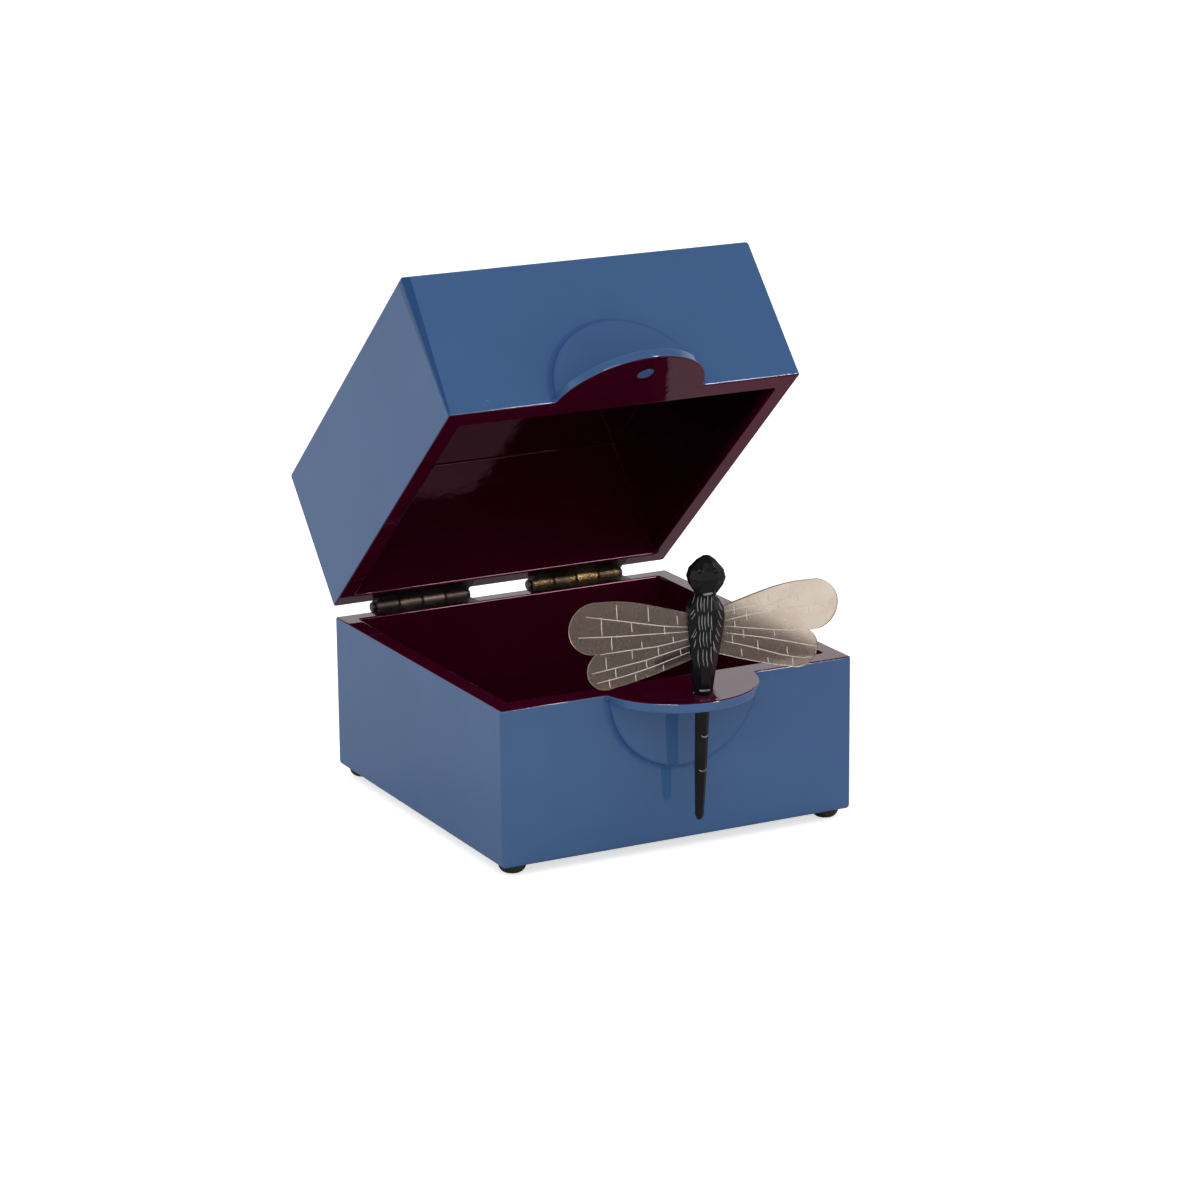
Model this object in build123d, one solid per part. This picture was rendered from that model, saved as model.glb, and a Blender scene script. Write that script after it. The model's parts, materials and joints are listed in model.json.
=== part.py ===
from build123d import *
import os
from math import hypot, radians, sin, tan

os.makedirs("parts", exist_ok=True)

# Lacquered box of two equal halves on two small hinges, held shut by a carved dragonfly pin.
# Lengths in millimetres, angles in degrees. The front looks along -Y, up is +Z.

# Box
box_w = 120.0
box_d = 120.0
half_h = 49.2
seam_gap = 0.3
side_t = 5.8
back_t = 5.8
front_t = 7.5
panel_t = 6.4
coat_t = 0.5
corner_r = 2.5
edge_r = 1.6

# Lid position in which the box is kept, measured from shut
lid_open = 41.6

# Round tabs at the front of both rims, and the raised half-discs on the front walls behind them
tab_x = 0.5
tab_r = 25.5
tab_set_back = 4.0
tab_t = 3.2
tab_round = 0.9
boss_r = 25.5
boss_t = 2.05
boss_round = 1.3

# Holes through the tabs for the dragonfly's tail
pin_x = 1.2
pin_ahead = 11.8
tail_clearance = 0.1
lid_hole_extra = 0.2

# Rubber feet
foot_d = 9.5
foot_h = 3.0
foot_flat_d = 4.6
foot_bulge = 0.7
foot_inset = 5.8

# Butt hinges
hinge_inset = 15.6
hinge_len = 32.8
knuckle_gap = 0.25
knuckle_wall = 1.05
barrel_gap = 2.0
barrel_clearance = 0.3
leaf_t = 1.2
leaf_inset = 0.8
leaf_clearance = 0.1
hinge_pin_d = 2.2
pin_clearance = 0.05
pin_head_overlap = 0.6
pin_head_t = 0.9
pin_head_round = 0.5
pin_end_play = 0.15

# Countersunk hinge screws
screw_pitch = 20.0
screw_len = 8.0
screw_d = 1.6
screw_head_d = 3.2
screw_head_t = 0.9
screw_point = 1.6
screw_tip_d = 0.3
screw_clearance = 0.04
slot_w = 0.45
slot_t = 0.4

# Carved dragonfly: how it stands in its hole
lean_forward = 2.3
lean_side = 0.6
turn = 6.5
facet_turn = 8.0
seat_clearance = 0.05

# Dragonfly body above its seat: heights of its stretches, then widths
thorax_h = 24.4
shoulder_h = 6.2
face_h = 5.6
crown_h = 6.3
seat_w = 5.4
thorax_w = 11.2
neck_w = 5.5
head_w = 11.2
depth_share = 0.7
facet_share = 0.44

# Dragonfly tail below its seat
tail_len = 40.0
tail_top_w = 4.2
tail_end_w = 2.5
tail_tip = 1.2

# Wings, each one thin plate with an upper and a lower lobe
wing_t = 1.0
wing_socket = 3.0
wing_uneven = 0.6
wing_low_z = 4.9
lower_lobe_h = 11.0
upper_lobe_h = 15.7
notch_x = 33.8
upper_lobe_out = 9.2
lower_lobe_out = 3.1
lower_lobe_back = 5.2
root_rise = 7.1
root_drop = 6.4

# Derived sizes
core_panel = panel_t - coat_t
core_side = side_t - coat_t
core_back = back_t - coat_t
core_front = front_t - coat_t
front_y = -box_d / 2
back_y = box_d / 2
side_x = box_w / 2
hinge_x = side_x - hinge_inset - hinge_len / 2
tab_y = front_y + tab_set_back
pin_y = front_y - pin_ahead
rim_z = foot_h + half_h
seam_z = rim_z + seam_gap / 2
closed_top_z = rim_z + seam_gap + half_h
knuckles = 4
knuckle_len = (hinge_len - (knuckles - 1) * knuckle_gap) / knuckles
bore_r = hinge_pin_d / 2 + pin_clearance
barrel_r = bore_r + knuckle_wall
pivot_y = back_y + barrel_gap + barrel_r
tail_across = tail_top_w * hypot(1, facet_share)
tail_lean_room = tab_t / 2 * (tan(radians(lean_forward)) + tan(radians(lean_side)))
base_hole_d = tail_across + 2 * (tail_clearance + tail_lean_room)
lid_hole_d = base_hole_d + lid_hole_extra
seat_z = seat_clearance + seat_w / 2 * (sin(radians(lean_forward)) + sin(radians(lean_side)))
neck_z = thorax_h + shoulder_h
head_z = neck_z + face_h
notch_z = wing_low_z + lower_lobe_h
wing_top_z = notch_z + upper_lobe_h

# How far cutters run past what they cut, and how much of a wall a rounding may take
over = 1.0
round_share = 0.8


def block(x0, x1, y0, y1, z0, z1):
    """Box between two opposite corners."""
    return Pos((x0 + x1) / 2, (y0 + y1) / 2, (z0 + z1) / 2) * Box(x1 - x0, y1 - y0, z1 - z0)


def rod(x0, x1, y, z, r):
    """Round bar along X."""
    return Pos((x0 + x1) / 2, y, z) * Rot(0, 90, 0) * Cylinder(r, x1 - x0)


# One half of the box is modelled with its closed face at z = 0 and its rim at z = half_h.


def outer_panel():
    """Floor of the base or top of the lid, with the rounded outer corners and edges."""
    panel = block(-side_x, side_x, front_y, back_y, 0, core_panel)
    panel = fillet(panel.edges().filter_by(Axis.Z), corner_r)
    return fillet(panel.faces().sort_by(Axis.Z)[0].edges(), min(edge_r, core_panel * round_share))


def wall_z():
    """Lowest and highest z of the bare walls."""
    return core_panel, half_h - coat_t


def front_wall():
    """Front wall, as wide as the box, with its two outer corners rounded."""
    wall = block(-side_x, side_x, front_y, front_y + core_front, *wall_z())
    corners = wall.edges().filter_by(Axis.Z).group_by(Axis.Y)[0]
    return fillet(corners, min(corner_r, core_front * round_share))


def back_wall():
    """Back wall, as wide as the box, with its two outer corners rounded."""
    wall = block(-side_x, side_x, back_y - core_back, back_y, *wall_z())
    corners = wall.edges().filter_by(Axis.Z).group_by(Axis.Y)[-1]
    return fillet(corners, min(corner_r, core_back * round_share))


def side_wall(side):
    """Side wall between the front and back walls; side is -1 on the left and 1 on the right."""
    x0, x1 = sorted((side * side_x, side * (side_x - core_side)))
    return block(x0, x1, front_y + core_front, back_y - core_back, *wall_z())


def tab_disc(z0, z1):
    """The part of the tab's disc that stands ahead of the front wall."""
    disc = Pos(tab_x, tab_y, (z0 + z1) / 2) * Cylinder(tab_r, z1 - z0)
    return disc & block(-box_w, box_w, front_y - 2 * tab_r, front_y, z0, z1)


def pin_hole(d):
    """Cutter for the hole through a tab."""
    return Pos(pin_x, pin_y, half_h) * Cylinder(d / 2, 2 * tab_t + 2 * over)


def tab(hole_d):
    """Bare wooden tab under its coat, with a softly rounded lower edge."""
    disc = tab_disc(half_h - tab_t, half_h - coat_t)
    lower = disc.faces().sort_by(Axis.Z)[0].edges().filter_by(GeomType.CIRCLE)
    return fillet(lower, min(tab_round, (tab_t - coat_t) * round_share)) - pin_hole(hole_d)


def boss():
    """Raised half-disc on the front wall, below the tab."""
    disc = Pos(tab_x, front_y - boss_t / 2, half_h) * Rot(90, 0, 0) * Cylinder(boss_r, boss_t)
    low = half_h - tab_t
    half = disc & block(-box_w, box_w, front_y - boss_t, front_y, low - boss_r - over, low)
    rim = half.faces().sort_by(Axis.Y)[0].edges().filter_by(GeomType.CIRCLE)
    return fillet(rim, min(boss_round, boss_t * round_share))


def lining(hole_d):
    """Dark coat over the inside, the rim and the tab's face, as one skin."""
    skin = block(
        -side_x + core_side, side_x - core_side,
        front_y + core_front, back_y - core_back,
        core_panel, half_h - coat_t,
    )
    rim = block(-side_x, side_x, front_y, back_y, half_h - coat_t, half_h)
    rim = fillet(rim.edges().filter_by(Axis.Z), corner_r)
    cavity = block(
        -side_x + side_t, side_x - side_t,
        front_y + front_t, back_y - back_t,
        panel_t, half_h + over,
    )
    face = tab_disc(half_h - coat_t, half_h) - pin_hole(hole_d)
    return skin + rim - cavity + face


def mortise(x):
    """Cutter for a hinge leaf let into the rim."""
    x0 = x - hinge_len / 2 - leaf_clearance
    x1 = x + hinge_len / 2 + leaf_clearance
    y0 = back_y - back_t + leaf_inset - leaf_clearance
    return block(x0, x1, y0, back_y + over, half_h - leaf_t, half_h + over)


def knuckle_span(x, index):
    """Ends along X of one knuckle, counted from the left."""
    x0 = x - hinge_len / 2 + index * (knuckle_len + knuckle_gap)
    return x0, x0 + knuckle_len


def leaf(x, own):
    """Hinge leaf with its own knuckles; own is 1 for the second and fourth, 0 for the others."""
    axis_z = half_h + seam_gap / 2
    y0 = back_y - back_t + leaf_inset
    plate = block(x - hinge_len / 2, x + hinge_len / 2, y0, pivot_y, half_h - leaf_t, half_h)
    barrel_reach = barrel_r + barrel_clearance
    for index in range(knuckles):
        x0, x1 = knuckle_span(x, index)
        if index % 2 == own:
            plate = plate + rod(x0, x1, pivot_y, axis_z, barrel_r)
        else:
            plate = plate - rod(x0 - knuckle_gap, x1 + knuckle_gap, pivot_y, axis_z, barrel_reach)
    bore = rod(x - hinge_len / 2 - over, x + hinge_len / 2 + over, pivot_y, axis_z, bore_r)
    return plate - bore


def screw_places(x):
    """Centres of one leaf's screws on the rim plane."""
    y = back_y - (back_t - leaf_inset) / 2
    return [(x - screw_pitch / 2, y), (x + screw_pitch / 2, y)]


def screw_body(x, y, grow=0.0):
    """Countersunk screw without its slot, head flush with the rim; grow widens it into its hole."""
    head_r = screw_head_d / 2 + grow
    shank_r = screw_d / 2 + grow
    shank_top = half_h - screw_head_t
    point_top = half_h - screw_len + screw_point
    tip = half_h - screw_len - grow
    profile = [
        (0, half_h), (head_r, half_h), (shank_r, shank_top),
        (shank_r, point_top), (screw_tip_d / 2, tip), (0, tip),
    ]
    turned = revolve(Plane.XZ * Polygon(*profile, align=None), Axis.Z)
    return Pos(x, y, 0) * turned


def screw(x, y, slot_angle):
    """Countersunk slotted wood screw."""
    slot = Pos(x, y, half_h) * Rot(0, 0, slot_angle) * Box(screw_head_d + over, slot_w, 2 * slot_t)
    return screw_body(x, y) - slot


def hinge_cuts():
    """Everything that the two hinges take out of a rim."""
    cuts = []
    for x in (-hinge_x, hinge_x):
        cuts.append(mortise(x))
        for place in screw_places(x):
            cuts.append(screw_body(*place, screw_clearance))
    return cuts


def cut_all(solid, cutters):
    """Solid with each cutter taken away."""
    for cutter in cutters:
        solid = solid - cutter
    return solid


def half(prefix, panel_name, hole_d, own_knuckle):
    """All pieces of one half of the box, by node name, in the half's own frame."""
    cuts = hinge_cuts()
    pieces = {
        panel_name: outer_panel(),
        prefix + "_front_wall": front_wall(),
        prefix + "_back_wall": cut_all(back_wall(), cuts),
        prefix + "_left_wall": side_wall(-1),
        prefix + "_right_wall": side_wall(1),
        prefix + "_tab": tab(hole_d),
        prefix + "_boss": boss(),
        prefix + "_lining": cut_all(lining(hole_d), cuts),
    }
    screws = []
    for side, x in (("left", -hinge_x), ("right", hinge_x)):
        plate = leaf(x, own_knuckle)
        for turn_of_slot, place in zip((25, 70), screw_places(x)):
            plate = plate - screw_body(*place, screw_clearance)
            screws.append(screw(*place, turn_of_slot))
        pieces[prefix + "_hinge_leaf_" + side] = plate
    pieces[prefix + "_hinge_screws"] = Compound(children=screws)
    return pieces


def foot(x, y):
    """Rubber dome foot with a small flat where it stands."""
    top_r = foot_d / 2
    flat_r = foot_flat_d / 2
    slope = hypot(top_r - flat_r, foot_h)
    mid_r = (top_r + flat_r) / 2 + foot_bulge * foot_h / slope
    mid_z = foot_h / 2 - foot_bulge * (top_r - flat_r) / slope
    side_curve = ThreePointArc((flat_r, 0), (mid_r, mid_z), (top_r, foot_h))
    lines = [Line((0, foot_h), (0, 0)), Line((0, 0), (flat_r, 0)), Line((top_r, foot_h), (0, foot_h))]
    profile = Plane.XZ * make_face(lines + [side_curve])
    return Pos(x, y, 0) * revolve(profile, Axis.Z)


def hinge_pin(x):
    """Headed pin through both leaves' knuckles."""
    x0 = x - hinge_len / 2 - pin_end_play
    x1 = x + hinge_len / 2 + pin_end_play
    shaft = rod(x0, x1, pivot_y, seam_z, hinge_pin_d / 2)
    for x_in, x_out in ((x0, x0 - pin_head_t), (x1, x1 + pin_head_t)):
        head_r = hinge_pin_d / 2 + pin_head_overlap
        head = rod(min(x_in, x_out), max(x_in, x_out), pivot_y, seam_z, head_r)
        far = head.edges().filter_by(GeomType.CIRCLE).sort_by(lambda e: abs(e.center().X - x_out))[0]
        shaft = shaft + fillet(far, min(pin_head_round, pin_head_t * round_share))
    return shaft


# The dragonfly is modelled upright, with its seat on the tab at z = 0 and its axis on Z.


def octagon(z, width):
    """Eight-sided section at a height, flatter from front to back where it is wide."""
    w = width / 2
    d = (width if width < seat_w else seat_w + (width - seat_w) * depth_share) / 2
    fw = w * facet_share
    fd = d * facet_share
    corners = [(fw, -d), (w, -fd), (w, fd), (fw, d), (-fw, d), (-w, fd), (-w, -fd), (-fw, -d)]
    return Pos(0, 0, z) * Polygon(*corners, align=None)


def dragonfly_sections():
    """Height and width of each section, from the tail's tip to the top of the head."""
    waist = thorax_w - seat_w
    tail = [
        (-tail_len, tail_end_w * 0.55),
        (-tail_len + tail_tip, tail_end_w),
        (-tail_len * 0.56, (tail_top_w + tail_end_w) * 0.53),
        (seat_z, tail_top_w),
    ]
    thorax = [
        (seat_z, seat_w),
        (thorax_h * 0.28, seat_w + waist * 0.25),
        (thorax_h * 0.47, seat_w + waist * 0.47),
        (thorax_h * 0.66, seat_w + waist * 0.73),
        (thorax_h * 0.84, seat_w + waist * 0.93),
        (thorax_h, thorax_w),
        (thorax_h + shoulder_h * 0.42, thorax_w * 0.93),
        (thorax_h + shoulder_h * 0.80, thorax_w * 0.70),
        (neck_z, neck_w),
    ]
    head = [
        (neck_z, neck_w),
        (neck_z + face_h * 0.60, head_w * 0.88),
        (head_z, head_w),
        (head_z + crown_h * 0.40, head_w * 0.88),
        (head_z + crown_h * 0.80, head_w * 0.50),
        (head_z + crown_h, head_w * 0.20),
    ]
    return tail, thorax, head


def dragonfly_body(wings):
    """Carved body with head, thorax and tail in one piece, slotted for the wings."""
    tail, thorax, head = dragonfly_sections()
    carved = loft([octagon(*section) for section in tail], ruled=True)
    carved = carved + loft([octagon(*section) for section in thorax], ruled=True)
    carved = carved + loft([octagon(*section) for section in head], ruled=True)
    carved = Rot(0, 0, -facet_turn) * carved
    return cut_all(carved, wings)


def wing(side):
    """Two-lobed wing plate, with its root let into the body."""
    root_x = thorax_w / 2 - wing_socket
    root_top = (root_x, wing_top_z - root_drop)
    root_low = (root_x, wing_low_z + root_rise)
    upper_lobe = (notch_x, wing_top_z)
    upper_tip = (notch_x + upper_lobe_out, notch_z + upper_lobe_h / 2)
    notch = (notch_x, notch_z)
    lower_tip = (notch_x + lower_lobe_out, wing_low_z + lower_lobe_h / 2)
    lower_lobe = (notch_x - lower_lobe_back, wing_low_z)
    upper_mids = [
        (notch_x * 0.33, wing_top_z - root_drop * 0.63),
        (notch_x * 0.65, wing_top_z - root_drop * 0.17),
    ]
    lower_mid = (lower_lobe[0] * 0.60, wing_low_z + root_rise * 0.37)
    outline = [
        Line(root_low, root_top),
        Spline(root_top, *upper_mids, upper_lobe),
        ThreePointArc(upper_lobe, upper_tip, notch),
        ThreePointArc(notch, lower_tip, lower_lobe),
        ThreePointArc(lower_lobe, lower_mid, root_low),
    ]
    plate = extrude(Plane.XZ * make_face(outline), wing_t / 2, both=True)
    if side < 0:
        plate = mirror(plate, about=Plane.YZ)
    return Pos(0, 0, side * wing_uneven) * plate


def stand_dragonfly(piece):
    """Dragonfly piece turned, leaned and set down in the base tab's hole."""
    hole_middle = Pos(pin_x, pin_y, rim_z - tab_t / 2)
    stance = hole_middle * Rot(lean_forward, lean_side, 0) * Rot(0, 0, -turn)
    return stance * Pos(0, 0, tab_t / 2) * piece


def place_base(piece):
    """Piece of the base half at its place on the feet."""
    return Pos(0, 0, foot_h) * piece


def place_lid(piece):
    """Piece of the lid half, turned over, shut on the base and then opened about the hinge pins."""
    shut = Pos(0, 0, closed_top_z) * mirror(piece, about=Plane.XY)
    return shut.rotate(Axis((0, pivot_y, seam_z), (1, 0, 0)), -lid_open)


# Assembly
parts = {}
for name, piece in half("base", "base_floor", base_hole_d, 1).items():
    parts[name] = place_base(piece)
for name, piece in half("lid", "lid_top", lid_hole_d, 0).items():
    parts[name] = place_lid(piece)

foot_x = side_x - foot_inset
foot_y = back_y - foot_inset
for row, y in (("front", -foot_y), ("back", foot_y)):
    for side, x in (("left", -foot_x), ("right", foot_x)):
        parts["foot_" + row + "_" + side] = foot(x, y)

parts["hinge_pin_left"] = hinge_pin(-hinge_x)
parts["hinge_pin_right"] = hinge_pin(hinge_x)

wing_left = wing(-1)
wing_right = wing(1)
parts["dragonfly_body"] = stand_dragonfly(dragonfly_body([wing_left, wing_right]))
parts["dragonfly_wing_left"] = stand_dragonfly(wing_left)
parts["dragonfly_wing_right"] = stand_dragonfly(wing_right)

# The origin is on the table, below the middle of the whole object as it stands open.
spans = [piece.bounding_box() for piece in parts.values()]
centre_x = (min(s.min.X for s in spans) + max(s.max.X for s in spans)) / 2
centre_y = (min(s.min.Y for s in spans) + max(s.max.Y for s in spans)) / 2
print("origin moved by", round(-centre_x, 4), round(-centre_y, 4))
print("hinge axis y, z", round(pivot_y - centre_y, 4), round(seam_z, 4))
lift = Rot(lean_forward, lean_side, 0) * Pos(0, 0, 1)
print("lift axis", [round(v, 6) for v in lift.position])

for name, piece in parts.items():
    export_step(Pos(-centre_x, -centre_y, 0) * piece, "parts/" + name + ".step")
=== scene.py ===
"""Looks of a lacquered box: blue shell, maroon lining, brass hinges and a carved horn dragonfly."""

import json
import logging
from dataclasses import dataclass, field
from enum import Enum
from math import asin, atan2, cos, pi, radians, sin, sqrt

import bmesh
import bpy
from bpy.types import Material, Mesh, Node, NodeSocket, NodeTree, Object
from mathutils import Matrix, Vector


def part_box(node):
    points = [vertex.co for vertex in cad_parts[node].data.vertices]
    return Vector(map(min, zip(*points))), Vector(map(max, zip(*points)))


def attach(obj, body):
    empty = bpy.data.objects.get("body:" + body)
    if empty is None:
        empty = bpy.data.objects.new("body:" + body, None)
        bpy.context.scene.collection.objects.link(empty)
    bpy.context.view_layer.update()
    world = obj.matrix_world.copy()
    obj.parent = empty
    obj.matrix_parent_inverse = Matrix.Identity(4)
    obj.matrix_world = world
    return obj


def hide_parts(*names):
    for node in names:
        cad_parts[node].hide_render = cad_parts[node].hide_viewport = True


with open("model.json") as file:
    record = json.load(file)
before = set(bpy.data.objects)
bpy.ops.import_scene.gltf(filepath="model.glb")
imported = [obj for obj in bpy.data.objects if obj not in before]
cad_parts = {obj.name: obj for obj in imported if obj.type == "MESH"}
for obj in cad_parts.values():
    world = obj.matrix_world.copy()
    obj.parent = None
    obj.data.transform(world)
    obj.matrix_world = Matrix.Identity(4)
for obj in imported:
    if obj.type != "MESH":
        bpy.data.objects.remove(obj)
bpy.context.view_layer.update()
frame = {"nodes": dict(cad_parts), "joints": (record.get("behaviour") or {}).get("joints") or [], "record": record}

LOG = logging.getLogger("lacquered_box")
MM = 0.001
QUARTER = pi / 2
# How far a tool reaches past the face that it cuts
PAST = 1 * MM
# Corners within these distances are one corner, and CAD faces within this angle are one face
SAME_POINT = 0.0005 * MM
SAME_CAD_POINT = 0.001 * MM
SAME_CAD_FACE = radians(0.5)

Flat = tuple[float, float]
Point = tuple[float, float, float]
Ring = list[Point]
Line = list[Flat]
Colour = tuple[float, float, float]


class Slot(Enum):
    """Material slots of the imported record."""

    BLUE = "lacquer_blue"
    MAROON = "lacquer_maroon"
    BRASS = "brass_aged"
    BLACK_HORN = "horn_black"
    PALE_HORN = "horn_pale"
    RUBBER = "rubber_black"


class Cut(Enum):
    """What a tool mesh does to a piece."""

    JOIN = "UNION"
    TAKE_AWAY = "DIFFERENCE"


# Outlines and meshes


def quarter_turn(count: int) -> list[float]:
    """Angles of a quarter turn in steps, ends included."""
    return [QUARTER * k / count for k in range(count + 1)]


def arc(x: float, y: float, r: float, start: float, end: float, steps: int) -> Line:
    """Points of a circle's arc from one angle to another, ends included."""
    angles = [start + (end - start) * k / steps for k in range(steps + 1)]
    return [(x + r * cos(a), y + r * sin(a)) for a in angles]


def blend(first: float, second: float, share: float) -> float:
    """Value between two others."""
    return first + (second - first) * share


def level(line: Line, z: float) -> Ring:
    """Outline at a height."""
    return [(x, y, z) for x, y in line]


def turned(x: float, y: float, profile: Line, count: int) -> list[Ring]:
    """Rings of a round piece about an upright axis, from its radii and heights."""
    return [level(arc(x, y, r, 0, 2 * pi, count)[:-1], z) for r, z in profile]


def new_object(name: str, mesh: Mesh) -> Object:
    """Links a new object to the scene.

    Args:
        name: Its name.
        mesh: Its mesh.

    Returns:
        The object.
    """
    obj = bpy.data.objects.new(name, mesh)
    bpy.context.scene.collection.objects.link(obj)
    return obj


def lofted(name: str, rings: list[Ring]) -> Mesh:
    """Closes a mesh through rings.

    Args:
        name: Name of the mesh.
        rings: Rings of equally many points, each anticlockwise seen from the end of the stack.

    Returns:
        The mesh, with a flat cap on the first and the last ring.
    """
    count = len(rings[0])
    faces = [tuple(reversed(range(count)))]
    for k in range(len(rings) - 1):
        low = k * count
        for i in range(count):
            j = (i + 1) % count
            faces.append((low + i, low + j, low + count + j, low + count + i))
    last = (len(rings) - 1) * count
    faces.append(tuple(range(last, last + count)))
    mesh = bpy.data.meshes.new(name)
    mesh.from_pydata([point for ring in rings for point in ring], [], faces)
    return mesh


def written(made: bmesh.types.BMesh, name: str) -> Mesh:
    """Writes an edited mesh out and frees it.

    Args:
        made: The edited mesh.
        name: Name of the new mesh.

    Returns:
        The new mesh.
    """
    mesh = bpy.data.meshes.new(name)
    made.to_mesh(mesh)
    made.free()
    return mesh


def place(mesh: Mesh, matrix: Matrix) -> None:
    """Moves a mesh to its place and keeps its faces pointing outwards.

    Args:
        mesh: The mesh.
        matrix: From the mesh's own frame to its place.
    """
    mesh.transform(matrix)
    if matrix.determinant() < 0:
        mesh.flip_normals()


def settle(obj: Object) -> None:
    """Turns an object with modifiers into one with a plain mesh.

    Args:
        obj: The object.
    """
    depsgraph = bpy.context.evaluated_depsgraph_get()
    shown = obj.evaluated_get(depsgraph)
    mesh = bpy.data.meshes.new_from_object(shown, preserve_all_data_layers=True, depsgraph=depsgraph)
    obj.modifiers.clear()
    obj.data = mesh


def cut(obj: Object, tool: Mesh, how: Cut) -> None:
    """Joins a tool mesh to a piece or takes it away.

    Args:
        obj: The piece, which keeps its name.
        tool: Closed mesh in the same frame.
        how: Join or take away.
    """
    helper = new_object("tool", tool)
    modifier = obj.modifiers.new("cut", "BOOLEAN")
    modifier.operation = how.value
    modifier.solver = "MANIFOLD"
    modifier.object = helper
    settle(obj)
    bpy.data.objects.remove(helper)


def soften(obj: Object, width: float, segments: int, corner: float) -> None:
    """Rounds a piece's sharp edges.

    Args:
        obj: The piece.
        width: Width of the rounding.
        segments: Faces across it.
        corner: Angle from which an edge counts as sharp.
    """
    modifier = obj.modifiers.new("round", "BEVEL")
    modifier.limit_method = "ANGLE"
    modifier.angle_limit = corner
    modifier.width = width
    modifier.segments = segments
    settle(obj)


def shade(obj: Object, crease: float = radians(35)) -> None:
    """Shades a piece smoothly and keeps its flat faces flat.

    Args:
        obj: The piece.
        crease: Angle from which an edge stays sharp.
    """
    mesh = obj.data
    made = bmesh.new()
    made.from_mesh(mesh)
    bmesh.ops.remove_doubles(made, verts=made.verts, dist=SAME_POINT)
    made.to_mesh(mesh)
    made.free()
    mesh.polygons.foreach_set("use_smooth", [True] * len(mesh.polygons))
    mesh.set_sharp_from_angle(angle=crease)
    modifier = obj.modifiers.new("flat", "WEIGHTED_NORMAL")
    modifier.keep_sharp = True
    settle(obj)


def copy_of_node(name: str, node: str) -> Object:
    """Copies a CAD node as a clean mesh.

    Args:
        name: Name of the new piece.
        node: The CAD node.

    Returns:
        A new object with merged corners and flat faces in one piece each.
    """
    made = bmesh.new()
    made.from_mesh(frame["nodes"][node].data)
    bmesh.ops.remove_doubles(made, verts=made.verts, dist=SAME_CAD_POINT)
    bmesh.ops.dissolve_limit(made, angle_limit=SAME_CAD_FACE, verts=made.verts, edges=made.edges)
    return new_object(name, written(made, name))


def lay_on(obj: Object, node: str) -> None:
    """Puts a finished piece on the body of a CAD node, and reports it.

    Args:
        obj: The piece.
        node: The node.
    """
    bodies = frame["record"]["behaviour"]["bodies"]
    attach(obj, next(body for body, nodes in bodies.items() if node in nodes))
    LOG.info("%s: %d faces", obj.name, len(obj.data.polygons))


def dress(obj: Object, material: Material, nodes: list[str]) -> None:
    """Gives a finished piece its material and its body, and hides the nodes it stands for.

    Args:
        obj: The piece.
        material: Its material.
        nodes: CAD nodes that it replaces; the first tells its body.
    """
    obj.data.materials.clear()
    obj.data.materials.append(material)
    lay_on(obj, nodes[0])
    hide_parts(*nodes)


# Where things stand


@dataclass
class Place:
    """Where the box stands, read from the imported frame, and the sizes that several pieces share."""

    back_t: float = 5.8 * MM
    tab_x: float = 0.5 * MM
    tab_t: float = 3.2 * MM
    pin_x: float = 1.2 * MM
    pin_ahead: float = 11.8 * MM
    middle_x: float = field(init=False)
    middle_y: float = field(init=False)
    floor_z: float = field(init=False)
    half_w: float = field(init=False)
    half_d: float = field(init=False)
    half_h: float = field(init=False)
    hinge: Vector = field(init=False)
    open_by: float = field(init=False)

    def __post_init__(self) -> None:
        """Reads the boxes of the floor and the rim, and the hinge."""
        lo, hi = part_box("base_floor")
        closing = next(j for j in frame["joints"] if j["type"] == "hinge" and j["range_deg"][0] < 0)
        self.middle_x = (lo.x + hi.x) / 2
        self.middle_y = (lo.y + hi.y) / 2
        self.floor_z = lo.z
        self.half_w = (hi.x - lo.x) / 2
        self.half_d = (hi.y - lo.y) / 2
        self.half_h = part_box("base_lining")[1].z - lo.z
        self.hinge = Vector(closing["pos_m"])
        self.open_by = radians(-closing["range_deg"][0])

    def base(self) -> Matrix:
        """From a half's own frame to the base on its feet."""
        return Matrix.Translation((self.middle_x, self.middle_y, self.floor_z))

    def lid(self) -> Matrix:
        """Finds the lid as it stands open.

        Returns:
            From a half's own frame to the lid.
        """
        top = 2 * self.hinge.z - self.floor_z
        shut = Matrix.Translation((self.middle_x, self.middle_y, top)) @ Matrix.Diagonal((1, 1, -1, 1))
        about = Matrix.Translation(self.hinge)
        return about @ Matrix.Rotation(-self.open_by, 4, "X") @ about.inverted() @ shut

    def lid_edge(self) -> tuple[Vector, Vector]:
        """Ends of the lid's front left edge, the one at its top face first."""
        return tuple(self.lid() @ Vector((-self.half_w, -self.half_d, z)) for z in (0.0, self.half_h))

    def disc_middles(self) -> tuple[Vector, Vector]:
        """Middles of the raised half-discs, on the rim line of the base's and the lid's front."""
        middle = Vector((self.tab_x, -self.half_d, self.half_h))
        return self.base() @ middle, self.lid() @ middle

    def lid_hollow(self) -> tuple[Vector, Vector, Vector]:
        """Finds the lid's hollow.

        Returns:
            Its front right corner deep in the lid, a point of the rim and the way from the rim inwards.
        """
        corner = self.lid() @ Vector((self.half_w, -self.half_d, 0.0))
        rim = self.lid() @ Vector((0.0, 0.0, self.half_h))
        return corner, rim, (self.lid().to_3x3() @ Vector((0.0, 0.0, -1.0))).normalized()

    def barrel(self, side: str) -> Flat:
        """Where the barrel of the left or right hinge starts and ends along X."""
        lo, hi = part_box("base_hinge_leaf_" + side)
        return lo.x, hi.x


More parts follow.
